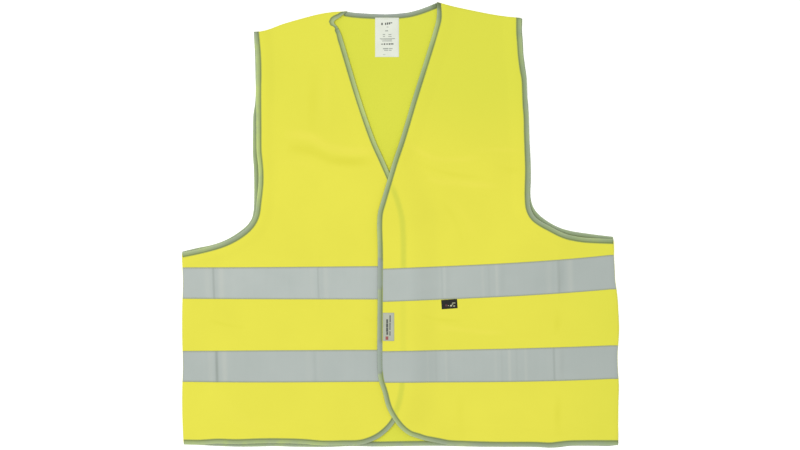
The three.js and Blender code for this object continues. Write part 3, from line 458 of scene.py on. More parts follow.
def lattice(outline, spacing):
    """Points of a triangular lattice that lie inside an outline, clear of its edge."""
    low, high = outline.min(axis=0), outline.max(axis=0)
    rows = np.arange(low[1], high[1], spacing * math.sqrt(3) / 2)
    out = []
    for i, y in enumerate(rows):
        x = np.arange(low[0] + (i % 2) * spacing / 2, high[0], spacing)
        out.append(np.stack([x, np.full(len(x), y)], axis=1))
    points = np.vstack(out)
    points = points[inside(outline, points)]
    return points[distance_to(outline, points) > 0.6 * spacing]


def around(loop_points):
    """Directions along a closed loop of points."""
    return np.roll(loop_points, -1, axis=0) - np.roll(loop_points, 1, axis=0)


def beneath(face, size):
    """The face of a shell's lower side that lies beneath an upper one."""
    return tuple(i + size for i in face[::-1])


def closed_shell(upper, faces, loop, outwards, wall, bulge):
    """A shell of its upper points, a lower copy of them, their faces and a rounded rim along a loop."""
    size, count = len(upper), len(loop)
    rim = upper[loop] + np.column_stack([outwards * wall * bulge, np.full(count, -wall / 2)])
    for k, i in enumerate(loop):
        j = loop[(k + 1) % count]
        m, n = 2 * size + k, 2 * size + (k + 1) % count
        faces += [(i, m, n, j), (m, i + size, j + size, n)]
    return np.vstack([upper, upper - np.array([0, 0, wall]), rim]), faces


def sheet_mesh(part, outline, spacing):
    """The shell of a part's cloth over its outline in plan."""
    outline = resample(np.vstack([outline, outline[:1]]), spacing * 0.8)[:-1]
    flat = np.vstack([outline, lattice(outline, spacing)])
    count = len(outline)
    ring = [(i, (i + 1) % count) for i in range(count)]
    cdt = geometry.delaunay_2d_cdt([Vector(p) for p in flat], ring, [], 1, 1e-7)
    flat = np.array([tuple(v) for v in cdt[0]])
    triangles = [tuple(f) for f in cdt[2]]
    a, b, c = (flat[[t[k] for t in triangles]] for k in range(3))
    turn = (b[:, 0] - a[:, 0]) * (c[:, 1] - a[:, 1]) - (b[:, 1] - a[:, 1]) * (c[:, 0] - a[:, 0])
    triangles = [t if s > 0 else t[::-1] for t, s in zip(triangles, turn)]
    index = {origin[0]: i for i, origin in enumerate(cdt[3]) if origin and origin[0] < count}
    loop = [index[i] for i in range(count)]
    if twice_area(outline) < 0:
        loop = loop[::-1]
    faces = triangles + [beneath(t, len(flat)) for t in triangles]
    upper = np.column_stack([flat, top_of(part, flat)])
    return closed_shell(upper, faces, loop, right_of(unit(around(flat[loop]))), SHELL, 0.45)


def strip_mesh(grid, wall):
    """A thin shell over a grid of points (rows, columns, xyz)."""
    rows, columns = grid.shape[:2]
    upper = grid.reshape(-1, 3)
    faces = []
    for r in range(rows - 1):
        for a in range(r * columns, r * columns + columns - 1):
            quad = (a, a + 1, a + columns + 1, a + columns)
            faces += [quad, beneath(quad, len(upper))]
    loop = list(range(columns))
    loop += [r * columns + columns - 1 for r in range(1, rows)]
    loop += [(rows - 1) * columns + c for c in range(columns - 2, -1, -1)]
    loop += [r * columns for r in range(rows - 2, 0, -1)]
    side = unit(right_of(around(upper[loop])))
    if np.sum(side * (upper[loop] - upper.mean(axis=0))[:, :2]) < 0:
        side = -side
    return closed_shell(upper, faces, loop, side, wall, 0.4)


def tube_faces(rings, size):
    """Faces of a tube of some rings of points, with a cap at each end."""
    faces = []
    for r in range(rings - 1):
        for k in range(size):
            n = (k + 1) % size
            faces.append((r * size + k, r * size + n, (r + 1) * size + n, (r + 1) * size + k))
    return faces + [tuple(range(size))[::-1], tuple(range((rings - 1) * size, rings * size))]


# Section of a binding: millimetres in from its outer face, side of the cloth, and millimetres off it.
SECTION = [
    (8, "over", 0.2), (8.05, "over", 0.36), (7.75, "over", 0.46), (7.2, "over", 0.46), (6.6, "over", 0.36),
    (6, "over", 0.46), (5.2, "over", 0.56), (4.2, "over", 0.66), (2.9, "over", 0.74), (1.8, "over", 0.74),
    (0.8, "over", 0.58), (0.2, "over", 0.2), (0, "middle", 0), (0.2, "under", 0.18), (0.8, "under", 0.5),
    (1.8, "under", 0.66), (2.9, "under", 0.68), (4.2, "under", 0.6), (5.2, "under", 0.52), (6, "under", 0.44),
    (6.6, "under", 0.34), (7.2, "under", 0.42), (7.75, "under", 0.42), (8.05, "under", 0.34),
    (8, "under", 0.18), (4.5, "under", 0.12), (1.6, "under", 0.1), (0.78, "middle", 0), (1.6, "over", 0.1),
    (4.5, "over", 0.12),
]
# Painted light along each binding: share of its length, how deep its painted shade and how grey its colour is
# there. Above 1.5 the painted shade is that of a dark fold, and above 1 the grey is a painted satin sheen
# over a tape.
BINDING_TONES = {
    "back_neck_binding": [
        (0, 0.9, 0.7), (0.25, 0.8, 0.85), (0.5, 0.6, 0.95), (0.75, 0.9, 0.8), (0.88, 1, 0.6),
        (0.95, 1.9, 0.3), (1, 2.2, 0.2),
    ],
    "back_hem_binding": [(0, 0.8, 0.4), (0.4, 0.7, 0.4), (1, 0.95, 0.4)],
    "back_armhole_binding_right": [(0, 0.8, 0.4), (0.5, 0.9, 0.1), (1, 0.9, 0.2)],
    "back_armhole_binding_left": [(0, 1.1, 0.3), (0.4, 1.1, 0.2), (1, 1.05, 0.1)],
    "front_right_binding": [
        (0, 2.1, 0.2), (0.006, 1.7, 0.3), (0.012, 1, 0.35), (0.018, 0.8, 0.35), (0.027, 0.4, 0.1),
        (0.033, 0.9, 0.1), (0.0386, 1.9, 0.1), (0.046, 0.7, 0.1), (0.06, 0.6, 0.1), (0.09, 0.5, 0.1),
        (0.13, 0.35, 0.05), (0.18, 0.15, 0.05), (0.24, 0.3, 0.1), (0.62, 0.4, 0.15), (0.67, 0.7, 0.3),
        (0.7, 0.85, 0.4), (0.76, 0.8, 0.4), (0.79, 0.35, 0.2), (0.93, 0.5, 0.25), (1, 0.4, 0.3),
    ],
    "front_left_binding": [
        (0, 2.3, 0.2), (0.007, 2.1, 0.2), (0.015, 1.4, 0.2), (0.03, 0.7, 0.05), (0.05, 0.5, 0),
        (0.09, 0.7, 0), (0.13, 0.85, 0.05), (0.25, 0.8, 0.15), (0.3, 0.65, 0.25), (0.36, 0.6, 0.2),
        (0.398, 0.55, 0.4), (0.405, 0.5, 1.5), (0.44, 0.5, 1.6), (0.45, 0.6, 0.7), (0.47, 0.7, 0.5),
        (0.5, 0.6, 0.7), (0.525, 0.5, 1), (0.53, 0.5, 1.9), (0.57, 0.5, 1.9), (0.575, 0.5, 0.4),
        (0.64, 0.6, 0.15), (0.68, 0.4, 0.15), (0.73, 0.85, 0.3), (0.8, 0.85, 0.4), (0.9, 0.95, 0.35),
        (1, 0.7, 0.2),
    ],
    "front_armhole_binding_right": [
        (0, 0.3, 0.2), (0.14, 0.6, 0.5), (0.26, 0.8, 0.45), (0.35, 0.65, 0.2), (0.42, 0.2, 0), (0.8, 0.15, 0),
        (0.94, 0.4, 0.1), (1, 0.9, 0.4),
    ],
    "front_armhole_binding_left": [
        (0, 0.95, 0.1), (0.1, 0.9, 0.1), (0.2, 0.95, 0.15), (0.3, 0.85, 0.5), (0.4, 1, 0.3), (0.7, 1.1, 0.2),
        (0.82, 0.95, 0.1), (0.88, 0.7, 0), (1, 0.9, 0.1),
    ],
}
# Where a folded corner draws a binding in: run in millimetres, half length, share of the width lost.
PINCHES = {
    "front_right_binding": [(11, 15, 0.26), (34, 7, 0.5), (44, 12, 0.15)],
    "front_left_binding": [(4, 26, 0.16)],
}


def drawn_in(node, run):
    """Share of its full width that a binding has at each run along it."""
    width = np.ones(len(run))
    for at, half, lost in PINCHES.get(node, []):
        width -= lost * bell((run / MM - at) / half)
    return width


def edge_path(node, line, hand, seams):
    """Points along a bound edge, directions into the cloth, the same drawn in, and the run in metres."""
    path = resample(line, BINDING_STEP)
    inward = inward_normals(path, hand)
    for _ in range(2):
        inward = (np.roll(inward, 1, axis=0) + inward + np.roll(inward, -1, axis=0)) / 3
        inward[0], inward[-1] = inward[1], inward[-2]
    run = run_of(path)
    for seam, distance in zip(seams, (run, run[-1] - run)):
        if seam is not None:
            share = np.clip(1 - distance / SEAM_BLEND, 0, 1)[:, None]
            inward = inward * (1 - share) + np.asarray(seam) * share
    inward = unit(inward)
    return path, inward, inward * drawn_in(node, run)[:, None], run


def cloth_levels(part, path, inward, reach):
    """Upper face of the cloth at some distances in from a bound edge, at least at the cloth's end."""
    known = np.array([LAYER, 0.55 * BINDING_WIDTH, BINDING_WIDTH])
    levels = np.stack([top_of(part, path + inward * u) for u in known], axis=1)
    reach = np.clip(reach, known[0], known[-1])
    return np.stack([np.interp(reach, known, row) for row in levels])


def over_tape(part, points):
    """How much a binding rises where it runs over a tape."""
    return np.zeros(len(points)) if part == "back" else on_tape(points, part) * BINDING_RISE


def binding_mesh(node, part, edge):
    """A ribbon folded round the edge of a panel, with the attributes that its material reads."""
    path, inward, pull, run = edge
    level = cloth_levels(part, path, inward, np.array([row[0] for row in SECTION]) * MM)
    points = np.empty((len(path), len(SECTION), 3))
    for k, (u, side, off) in enumerate(SECTION):
        place = path + pull * u * MM
        bump = over_tape(part, place)
        z = {
            "over": level[:, k] + off * MM + bump,
            "under": level[:, k] - SHELL - off * MM,
            "middle": level[:, k] - SHELL / 2 + bump / 2,
        }[side]
        points[:, k] = np.column_stack([place, z])
    size = len(SECTION)
    # painted shade, and grey with painted sheen, along the binding
    share, painted_shade, grey_and_sheen = np.array(BINDING_TONES[node]).T
    attributes = {
        "across": np.tile([min(row[0] * MM / BINDING_WIDTH, 1) for row in SECTION], len(path)),
        "along": np.repeat(run, size),
        "painted_shade": np.repeat(np.interp(run / run[-1], share, painted_shade), size),
        "grey_and_sheen": np.repeat(np.interp(run / run[-1], share, grey_and_sheen), size),
    }
    return points.reshape(-1, 3), tube_faces(len(path), size), attributes


def stitch_mesh(places, directions):
    """Short rounded threads at some places, each bowed up along its own direction."""
    sides, rings = 6, [(-0.5, 0.35), (-0.3, 0.95), (0.0, 1.0), (0.3, 0.95), (0.5, 0.35)]
    angles = np.arange(sides) * 2 * math.pi / sides
    template = np.array([
        (x * STITCH_LENGTH, r * STITCH_RADIUS * math.cos(a),
         r * STITCH_RADIUS * math.sin(a) - 1.1 * x * x * STITCH_RADIUS * 2)
        for x, r in rings for a in angles
    ])
    ahead = unit(directions)
    side = unit(np.cross([0, 0, 1], ahead))
    points = places[:, None]
    for k, axis in enumerate((ahead, side, np.cross(ahead, side))):
        points = points + template[None, :, k:k + 1] * axis[:, None]
    size, faces = len(template), tube_faces(len(rings), sides)
    every = [tuple(i + s * size for i in f) for s in range(len(places)) for f in faces]
    return points.reshape(-1, 3), every


def stitches_along(line, level):
    """Stitches along a line in plan, on the surface that level gives."""
    path = resample(line, STITCH_PITCH)
    tangent = unit(np.gradient(path, axis=0))
    ahead, behind = path + tangent * STITCH_LENGTH / 2, path - tangent * STITCH_LENGTH / 2
    rise = (level(ahead) - level(behind)) / STITCH_LENGTH
    return stitch_mesh(np.column_stack([path, level(path)]), np.column_stack([tangent, rise]))


def stitches_on(line):
    """Stitches along a line in space."""
    run = run_of(line)
    at = np.arange(STITCH_PITCH / 2, run[-1], STITCH_PITCH)
    behind, middle, ahead = (
        np.stack([np.interp(at + d, run, line[:, k]) for k in range(3)], axis=1)
        for d in (-STITCH_LENGTH / 2, 0, STITCH_LENGTH / 2)
    )
    return stitch_mesh(middle, ahead - behind)


def joined(parts):
    """Several meshes, each a pair of points and faces, as one."""
    faces, base = [], 0
    for points, some_faces in parts:
        faces += [tuple(i + base for i in f) for f in some_faces]
        base += len(points)
    return np.vstack([points for points, _ in parts]), faces


def binding_stitches(part, edge):
    """The two rows that show of a binding's seam, over and under the cloth."""
    path, _, pull, _ = edge
    row = (path + pull * STITCH_INSET * MM)[1:-1]

    def over(points):
        return top_of(part, points) + STITCH_OVER + over_tape(part, points)

    def under(points):
        return top_of(part, points) - SHELL - STITCH_UNDER

    return joined([stitches_along(row, over), stitches_along(row, under)])


def side_x(hand, y):
    line = LINES[f"side_{hand}"]
    return np.interp(y, line[:, 1], line[:, 0])


def centre_x(hand, y):
    """Where a front's edge runs, at a level below the V."""
    line = LINES[f"front_edge_{hand}"]
    down = line[np.argmax(line[:, 1] < 0.03):np.argmax(line[:, 1] < -0.3)]
    return np.interp(-np.asarray(y), -down[:, 1], down[:, 0])


def tape_grid(rows, columns, row, top):
    """Points where a tape lies; row gives x and y of each row, from its share of the tape's width."""
    grid = np.empty((rows, columns, 3))
    for r in range(rows):
        grid[r, :, 0], grid[r, :, 1] = row(r / (rows - 1), columns)
    grid[:, :, 2] = top(grid[:, :, :2].reshape(-1, 2)).reshape(rows, columns)
    return grid


def front_tape_grid(hand, name):
    """Points over a front where its tape lies, from the side seam to under the centre binding."""
    turn = HANDS[hand]
    low, high = np.array(TAPE_EDGES[hand][name])

    def row(v, columns):
        edge = low + (high - low) * v
        start = side_x(hand, edge[0] * MM) + turn * GAP
        end = centre_x(hand, edge[1] * MM) - turn * (BINDING_WIDTH - 3 * MM)
        x = np.linspace(start, end, columns)
        return x, tape_level(x, edge, hand) * MM

    return tape_grid(31, 230, row, lambda flat: front_top(flat, hand) + TAPE_RISE)


def back_tape_grid(name):
    """Points under the back where a tape lies, from side to side."""
    edges = [np.array(TAPE_EDGES[hand][name])[:, 0] for hand in HANDS]

    def row(v, columns):
        right, left = (low + (high - low) * v for low, high in edges)
        x = np.linspace(side_x("right", right * MM) + GAP, side_x("left", left * MM) - GAP, columns)
        return x, np.linspace(right, left, columns) * MM

    return tape_grid(25, 260, row, lambda flat: back_top(flat) - SHELL - TAPE_UNDER)


# Painted shade and painted highlight where a tape was folded: x of the dark line, partly a worn mark and
# partly painted shade, its depth and half width, and of the painted highlight bands beside it the distance
# (below 0 to the right side), strength and half width.
TAPE_CREASE_SHADING = {
    "front_right_tape_upper": [(-286, 1, 3, 12, 0.5, 8), (-124, 0.7, 2.2, 12, 0.35, 6)],
    "front_right_tape_lower": [(-285, 1.2, 4, 12, 0.5, 7), (-133, 0.25, 5, -10, 0.2, 8)],
    "front_left_tape_upper": [
        (68, 0.28, 2.2, 4, 0.3, 3), (141, 0.2, 3, 12, 0.45, 4), (249, 0.6, 4, 18, 0.4, 8),
    ],
    "front_left_tape_lower": [
        (55, 0.22, 3, 16, 0.3, 3), (157, 0.22, 2.6, 12, 0.3, 4), (180, 0.22, 3, 14, 0.3, 4),
        (238, 0.85, 2.8, 10, 0.1, 5),
    ],
    "back_tape_upper": [
        (-260, 0.8, 3.4, 12, 0.4, 8), (-92, 0.5, 3, -11, 0.3, 6), (150, 0.7, 3.2, 12, 0.4, 7),
    ],
    "back_tape_lower": [
        (-256, 0.7, 3.4, 12, 0.4, 8), (20, 0.4, 2.8, 12, 0.3, 6), (204, 0.9, 3.6, -12, 0.4, 7),
    ],
}


def painted_crease_shading(points, creases):
    """Painted shade and highlight of a tape's creases: below 0 on the dark lines, partly worn and partly
    painted shade, and above 0 on the painted highlight bands beside them.
    """
    total = np.zeros(len(points))
    lean = 0.03 * (points[:, 1] + 0.2)
    for x, depth, width, aside, light, spread in creases:
        at = (points[:, 0] + lean) / MM - x
        total += light * bell((at - aside) / spread) + 0.6 * light * bell((at + aside * 0.8) / spread)
        total -= depth * bell(at / width)
    return total


# ---- Materials ----
LIT = 1.205                 # how bright the studio light shows a level, white face


def rgb(red, green, blue):
    """A linear base colour that shows under the studio light as an sRGB one in 0 to 255."""
    linear = [c / 12.92 if c <= 0.04045 else ((c + 0.055) / 1.055) ** 2.4 for c in
              (red / 255, green / 255, blue / 255)]
    return (*(c / LIT for c in linear), 1.0)


class Nodes:
    """A material's node tree, built link by link."""

    def __init__(self, name):
        self.material = bpy.data.materials.new(name)
        self.material.use_nodes = True
        self.tree = self.material.node_tree
        self.shader = self.tree.nodes["Principled BSDF"]

    def add(self, kind, inputs=None, **settings):
        node = self.tree.nodes.new(kind)
        for key, value in settings.items():
            setattr(node, key, value)
        for key, value in (inputs or {}).items():
            self.put(node.inputs[key], value)
        return node

    def put(self, socket, value):
        if isinstance(value, bpy.types.NodeSocket):
            self.tree.links.new(value, socket)
        else:
            socket.default_value = value

    def shade(self, **inputs):
        for key, value in inputs.items():
            self.put(self.shader.inputs[key.replace("_", " ")], value)
        return self.material

    def place(self):
        return self.add("ShaderNodeTexCoord").outputs["Object"]

    def axes(self, place):
        return self.add("ShaderNodeSeparateXYZ", {"Vector": place}).outputs[:2]

    def attribute(self, name):
        return self.add("ShaderNodeAttribute", attribute_name=name).outputs["Fac"]

    def noise(self, vector, scale, detail, stretch=None):
        if stretch:
            vector = self.add("ShaderNodeMapping", {"Vector": vector, "Scale": stretch}).outputs[0]
        return self.add("ShaderNodeTexNoise", {"Vector": vector, "Scale": scale, "Detail": detail}).outputs[0]

    def math(self, kind, a, b=0.0):
        return self.add("ShaderNodeMath", {0: a, 1: b}, operation=kind).outputs[0]

    def times(self, a, b):
        return self.math("MULTIPLY", a, b)

    def plus(self, a, b):
        return self.math("ADD", a, b)

    def largest(self, a, b):
        return self.math("MAXIMUM", a, b)

    def wave(self, value, turn):
        return self.math("SINE", self.times(value, turn))

    def signed(self, value, over, under):
        """The part of a value above 0, and the size of its part below 0, each times a factor."""
        above, below = self.largest(value, 0.0), self.largest(self.times(value, -1.0), 0.0)
        return self.times(above, over), self.times(below, under)

    def clamped(self, a, b):
        """The sum of two values, held within 0 and 1."""
        return self.add("ShaderNodeClamp", {"Value": self.plus(a, b)}).outputs[0]

    def rise(self, value, low, high):
        """A soft rise from 0 at one value to 1 at another."""
        node = self.add("ShaderNodeMapRange", {"Value": value, "From Min": low, "From Max": high})
        node.interpolation_type = "SMOOTHSTEP"
        return node.outputs[0]

    def ramp(self, factor, stops):
        """A colour that runs through stops, each a share and an sRGB colour."""
        node = self.add("ShaderNodeValToRGB", {"Fac": factor})
        elements = node.color_ramp.elements
        while len(elements) < len(stops):
            elements.new(0.5)
        for element, (at, colour) in zip(elements, stops):
            element.position = at
            element.color = rgb(*colour)
        return node.outputs["Color"]

    def mottled(self, factor, dark, light):
        return self.ramp(factor, [(0.3, dark), (0.7, light)])

    def mix(self, factor, a, b):
        node = self.add("ShaderNodeMix", data_type="RGBA", blend_type="MIX")
        for index, value in ((0, factor), (6, a), (7, b)):
            self.put(node.inputs[index], value)
        return node.outputs[2]

    def tint(self, colour, *tints):
        """A colour moved in turn towards sRGB ones, each by a factor."""
        for factor, tone in tints:
            colour = self.mix(factor, colour, rgb(*tone))
        return colour

    def bump(self, height, strength, distance=0.00005):
        return self.add(
            "ShaderNodeBump", {"Height": height, "Distance": distance, "Strength": strength}
        ).outputs[0]


def knit(nodes, place, pitch):
    """Height of a fine warp knit: rows of small loops along Y."""
    x, y = nodes.axes(place)
    turn = 2 * math.pi / pitch
    return nodes.times(nodes.plus(nodes.wave(x, turn), nodes.wave(y, turn * 0.8)), 0.25)


def yellow_cloth(name, dark, light, fibre_colour):
    """Brushed knit polyester. The attribute under is 1 where a binding lies beneath it, and its crease
    attribute is above 0 on the painted highlights of its folds and below 0 on their painted shade. The
    shoulders and the vest's left side are tinted greener and darker as painted shade."""
    nodes = Nodes(name)
    place = nodes.place()
    fibre = nodes.noise(place, 900, 2)
    x, y = nodes.axes(place)
    # painted shade: the shoulders and the vest's left side are tinted greener and darker, as light falling
    # off there
    aside = nodes.plus(nodes.times(nodes.rise(x, -0.12, 0.12), 0.45), 0.30)
    shoulder = nodes.times(nodes.rise(y, 0.06, 0.24), aside)
    painted_falloff_shade = nodes.plus(shoulder, nodes.times(nodes.rise(x, 0.2, 0.34), 0.35))
    # painted highlight and painted shade along the folds
    painted_highlight, painted_shade = nodes.signed(nodes.attribute("crease_light_shade"), 0.8, 0.8)
    colour = nodes.tint(
        nodes.mottled(nodes.noise(place, 9, 4), dark, light),
        (nodes.times(fibre, 0.10), fibre_colour),
        (painted_falloff_shade, (220, 223, 71)),
        (painted_highlight, (239, 230, 85)),
        (painted_shade, (222, 218, 62)),
        (nodes.times(nodes.attribute("under"), 0.62), (203, 210, 72)),
    )
    height = nodes.plus(knit(nodes, place, 0.0011), nodes.times(fibre, 0.4))
    return nodes.shade(
        Base_Color=colour, Roughness=0.82, Specular_IOR_Level=0.18, Sheen_Weight=0.06,
        Sheen_Roughness=0.6, Normal=nodes.bump(height, 0.6, 0.00006),
    )


def reflective_tape():
    """Glass-bead tape, darker on the lower tapes and at the right end, with painted shade darkening it
    towards the left as light falls off, and its folds' painted highlight and shade.
    """
    nodes = Nodes("glass_bead_tape")
    place = nodes.place()
    streak = nodes.noise(place, 160, 3, stretch=(1.0, 0.05, 1.0))
    band = nodes.noise(place, 70, 2, stretch=(0.04, 1.0, 1.0))
    bead = nodes.noise(place, 2600, 1)
    # painted highlight and painted shade of the tape's creases
    light, dark = nodes.signed(nodes.attribute("crease_light_shade"), 0.8, 0.42)
    x, y = nodes.axes(place)
    # painted shade towards the vest's left, as light falling off; it is also darker on the lower tapes and at
    # the right end
    aside = nodes.times(nodes.rise(x, -0.12, 0.32), 0.42)
    below = nodes.times(nodes.rise(y, -0.12, -0.18), 0.28)
    end = nodes.times(nodes.rise(x, -0.26, -0.33), 0.16)
    colour = nodes.tint(
        nodes.mottled(nodes.noise(place, 14, 4), (171, 181, 175), (180, 189, 183)),
        (nodes.times(streak, 0.35), (188, 195, 188)),
        (nodes.times(band, 0.25), (182, 188, 190)),
        (nodes.largest(nodes.largest(aside, below), end), (158, 168, 163)),
        (light, (192, 197, 188)),
        (dark, (126, 136, 128)),
        (nodes.times(nodes.attribute("edge"), 0.85), (152, 160, 136)),
    )
    height = nodes.plus(nodes.times(streak, 0.5), nodes.times(bead, 0.3))
    return nodes.shade(
        Base_Color=colour, Roughness=nodes.plus(nodes.times(bead, 0.12), 0.40), Specular_IOR_Level=0.22,
        Metallic=0.0, Normal=nodes.bump(height, 0.5),
    )


# Colours across a binding, from its fold to its stitched edge: a lit copy with painted highlight, a copy in
# painted shade, greyed cloth, and a painted satin sheen over a tape. The first three are lighter at the fold
# as painted highlight and have a dark band near the stitched edge, partly the stitch line and partly painted
# shadow.
RIBBON_LIT = [
    (0, (206, 222, 138)), (0.28, (186, 206, 120)), (0.5, (177, 194, 117)), (0.68, (166, 182, 106)),
    (0.77, (128, 142, 78)), (0.86, (130, 144, 76)), (0.92, (178, 190, 94)), (1, (184, 196, 94)),
]
RIBBON_SHADED = [
    (0, (176, 194, 144)), (0.25, (151, 170, 124)), (0.45, (143, 163, 117)), (0.68, (138, 156, 105)),
    (0.77, (116, 131, 80)), (0.86, (118, 133, 76)), (0.92, (158, 174, 92)), (1, (166, 182, 94)),
]
RIBBON_GREY = [
    (0, (168, 178, 166)), (0.25, (154, 164, 154)), (0.5, (142, 153, 138)), (0.68, (137, 149, 124)),
    (0.77, (122, 134, 100)), (0.86, (124, 136, 92)), (0.92, (154, 166, 98)), (1, (160, 172, 98)),
]
RIBBON_SHEEN_ON_TAPE = [(0, (160, 173, 160)), (0.4, (156, 169, 157)), (0.75, (148, 162, 150)), (1, (156, 170, 154))]


def edge_ribbon():
    """Folded satin tape. Its attributes choose from place to place among a lit copy of its colour with
    painted highlight, a copy in painted shade, its grey tone and a painted sheen over a tape; above 1.5 the
    painted shade darkens to a fold's.
    """
    nodes = Nodes("edge_ribbon")
    place = nodes.place()
    across, along, painted_shade, grey_and_sheen = (nodes.attribute(name) for name in ("across", "along", "painted_shade", "grey_and_sheen"))
    patch = nodes.times(nodes.math("SUBTRACT", nodes.noise(place, 26, 3), 0.5), 1.3)
    fleck = nodes.math("SUBTRACT", nodes.noise(place, 75, 2), 0.5)
    # a lit copy with painted highlight, mixed towards painted shade, grey cloth and painted sheen over a tape
    colour = nodes.ramp(across, RIBBON_LIT)
    for factor, stops in (
        (nodes.clamped(painted_shade, patch), RIBBON_SHADED),
        (nodes.clamped(grey_and_sheen, fleck), RIBBON_GREY),
        (nodes.clamped(grey_and_sheen, -1.0), RIBBON_SHEEN_ON_TAPE),
    ):
        colour = nodes.mix(factor, colour, nodes.ramp(across, stops))
    # painted shade in the dark folds at the bindings' corners and ends
    colour = nodes.tint(colour, (nodes.clamped(painted_shade, -1.5), (92, 106, 66)))
    rib, weave = nodes.wave(along, 2 * math.pi / 0.0009), nodes.wave(across, 2 * math.pi * 11)
    height = nodes.plus(rib, nodes.times(weave, 0.5))
    return nodes.shade(
        Base_Color=colour, Roughness=0.62, Specular_IOR_Level=0.25, Sheen_Weight=0.08,
        Normal=nodes.bump(height, 0.5),
    )


def plain_weave(name, dark, light, pitch, roughness):
    """A woven or coated fabric of one colour with a little variation."""
    nodes = Nodes(name)
    place = nodes.place()
    return nodes.shade(
        Base_Color=nodes.mottled(nodes.noise(place, 60, 3), dark, light), Roughness=roughness,
        Specular_IOR_Level=0.3, Normal=nodes.bump(knit(nodes, place, pitch), 0.5),
    )


def thread(name, dark, light):
    nodes = Nodes(name)
    place = nodes.place()
    return nodes.shade(
        Base_Color=nodes.mottled(nodes.noise(place, 700, 2), dark, light), Roughness=0.6,
        Specular_IOR_Level=0.35, Normal=nodes.bump(nodes.noise(place, 3000, 1), 0.6),
    )


# ---- Camera, floor and light ----
FRAME_WIDTH = 1.24          # width of the view at the cloth
LENS, SENSOR = 85.0, 36.0
VIEW_CENTRE = (-0.0004, -0.0008, 0.005)
FLOOR_HALF, FLOOR_LEVEL = 6.0, -0.0002
WORLD_LIGHT = 0.55
FLOOR_GLOW = 0.22           # how brightly the floor glows by itself, which washes out faint shadows
# Each softbox: its place in metres, the length of its side and its power in watts.
SOFTBOXES = [
    ("softbox_left", (-1.7, 0.9, 3.0), 1.8, 24.0),
    ("softbox_above", (-0.35, -0.3, 3.9), 2.6, 88.0),
]


def set_camera():
    """Straight above the vest, with its neck up in the picture."""
    data = bpy.data.cameras.new("camera")
    data.lens, data.sensor_width = LENS, SENSOR
    camera = place_object("camera", data)
    x, y, z = VIEW_CENTRE
    camera.location = (x, y, z + FRAME_WIDTH * LENS / SENSOR)
    bpy.context.scene.camera = camera


def set_stage():
    """A plain pale floor that the vest lies on, and plain soft studio light."""
    white = (1.0, 1.0, 1.0, 1)
    finish = Nodes("studio_floor").shade(
        Base_Color=(0.96, 0.96, 0.96, 1), Roughness=0.95, Specular_IOR_Level=0.0,
        Emission_Color=white, Emission_Strength=FLOOR_GLOW,
    )
    mesh = bpy.data.meshes.new("studio_floor")
    corners = [(x * FLOOR_HALF, y * FLOOR_HALF, FLOOR_LEVEL) for x, y in ((-1, -1), (1, -1), (1, 1), (-1, 1))]
    mesh.from_pydata(corners, [], [(0, 1, 2, 3)])
    mesh.materials.append(finish)
    place_object("studio_floor", mesh)

    world = bpy.data.worlds.new("studio")
    world.use_nodes = True
    background = world.node_tree.nodes["Background"]
    background.inputs["Color"].default_value = white
    background.inputs["Strength"].default_value = WORLD_LIGHT
    bpy.context.scene.world = world
    bpy.context.scene.view_settings.view_transform = "Standard"

    for name, place, size, power in SOFTBOXES:
        light = bpy.data.lights.new(name, "AREA")
        light.shape, light.size, light.energy = "SQUARE", size, power
        lamp = place_object(name, light)
        lamp.location = place
        lamp.rotation_euler = (-Vector(place)).to_track_quat("-Z", "Y").to_euler()


# ---- The pieces ----
# How much the binding beneath shows: y in millimetres and share.
BENEATH = [(-330, 0), (-285, 1), (-240, 1), (-225, 0.3), (-80, 0.3), (-60, 1), (50, 1), (70, 0)]


def cloth_edge(name, hand):
    """A bound line moved in to where the cloth ends inside the binding."""
    return LINES[name] + inward_normals(LINES[name], hand) * LAYER


def between(name, axis, low, high):
    """The part of a line between two values of x (axis 0) or y (axis 1)."""
    line = LINES[name]
    return line[(line[:, axis] > low + 1 * MM) & (line[:, axis] < high - 1 * MM)]


def front_outline(hand):
    edge, arm = (cloth_edge(f"front_{k}_{hand}", HANDS[hand]) for k in ("edge", "armhole"))
    side = between(f"side_{hand}", 1, edge[-1, 1], arm[0, 1])
    return np.vstack([edge, side, arm, between(f"shoulder_{hand}", 0, *sorted((arm[-1, 0], edge[0, 0])))])


def back_outline():
    hem, neck = cloth_edge("back_hem", -1), cloth_edge("back_neck", 1)
    arm_right, arm_left = (cloth_edge(f"back_armhole_{hand}", turn) for hand, turn in HANDS.items())
    return np.vstack([
        hem, between("side_left", 1, hem[-1, 1], arm_left[0, 1]),
        arm_left, between("shoulder_left", 0, neck[-1, 0], arm_left[-1, 0]),
        neck[::-1], between("shoulder_right", 0, arm_right[-1, 0], neck[0, 0])[::-1],
        arm_right[::-1], between("side_right", 1, hem[0, 1], arm_right[0, 1])[::-1],
    ])


def finish_piece(piece, node, with_pieces=()):
    """Rides a piece and its extra pieces on the vest's one body, in place of its CAD node."""
    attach(piece, "root")
    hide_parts(node)
    for extra in with_pieces:
        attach(extra, "root")


def binding_beneath(points):
    """How much the right front's binding shows through the left front, from 0 to 1."""
    inwards = distance_to(LINES["front_edge_right"], points) * (2 * inside(FINISHED["right"], points) - 1)
    near = fall(np.abs(inwards - 4.5 * MM), 1.5 * MM, 5 * MM)
    return near * np.interp(points[:, 1] / MM, *np.array(BENEATH).T)


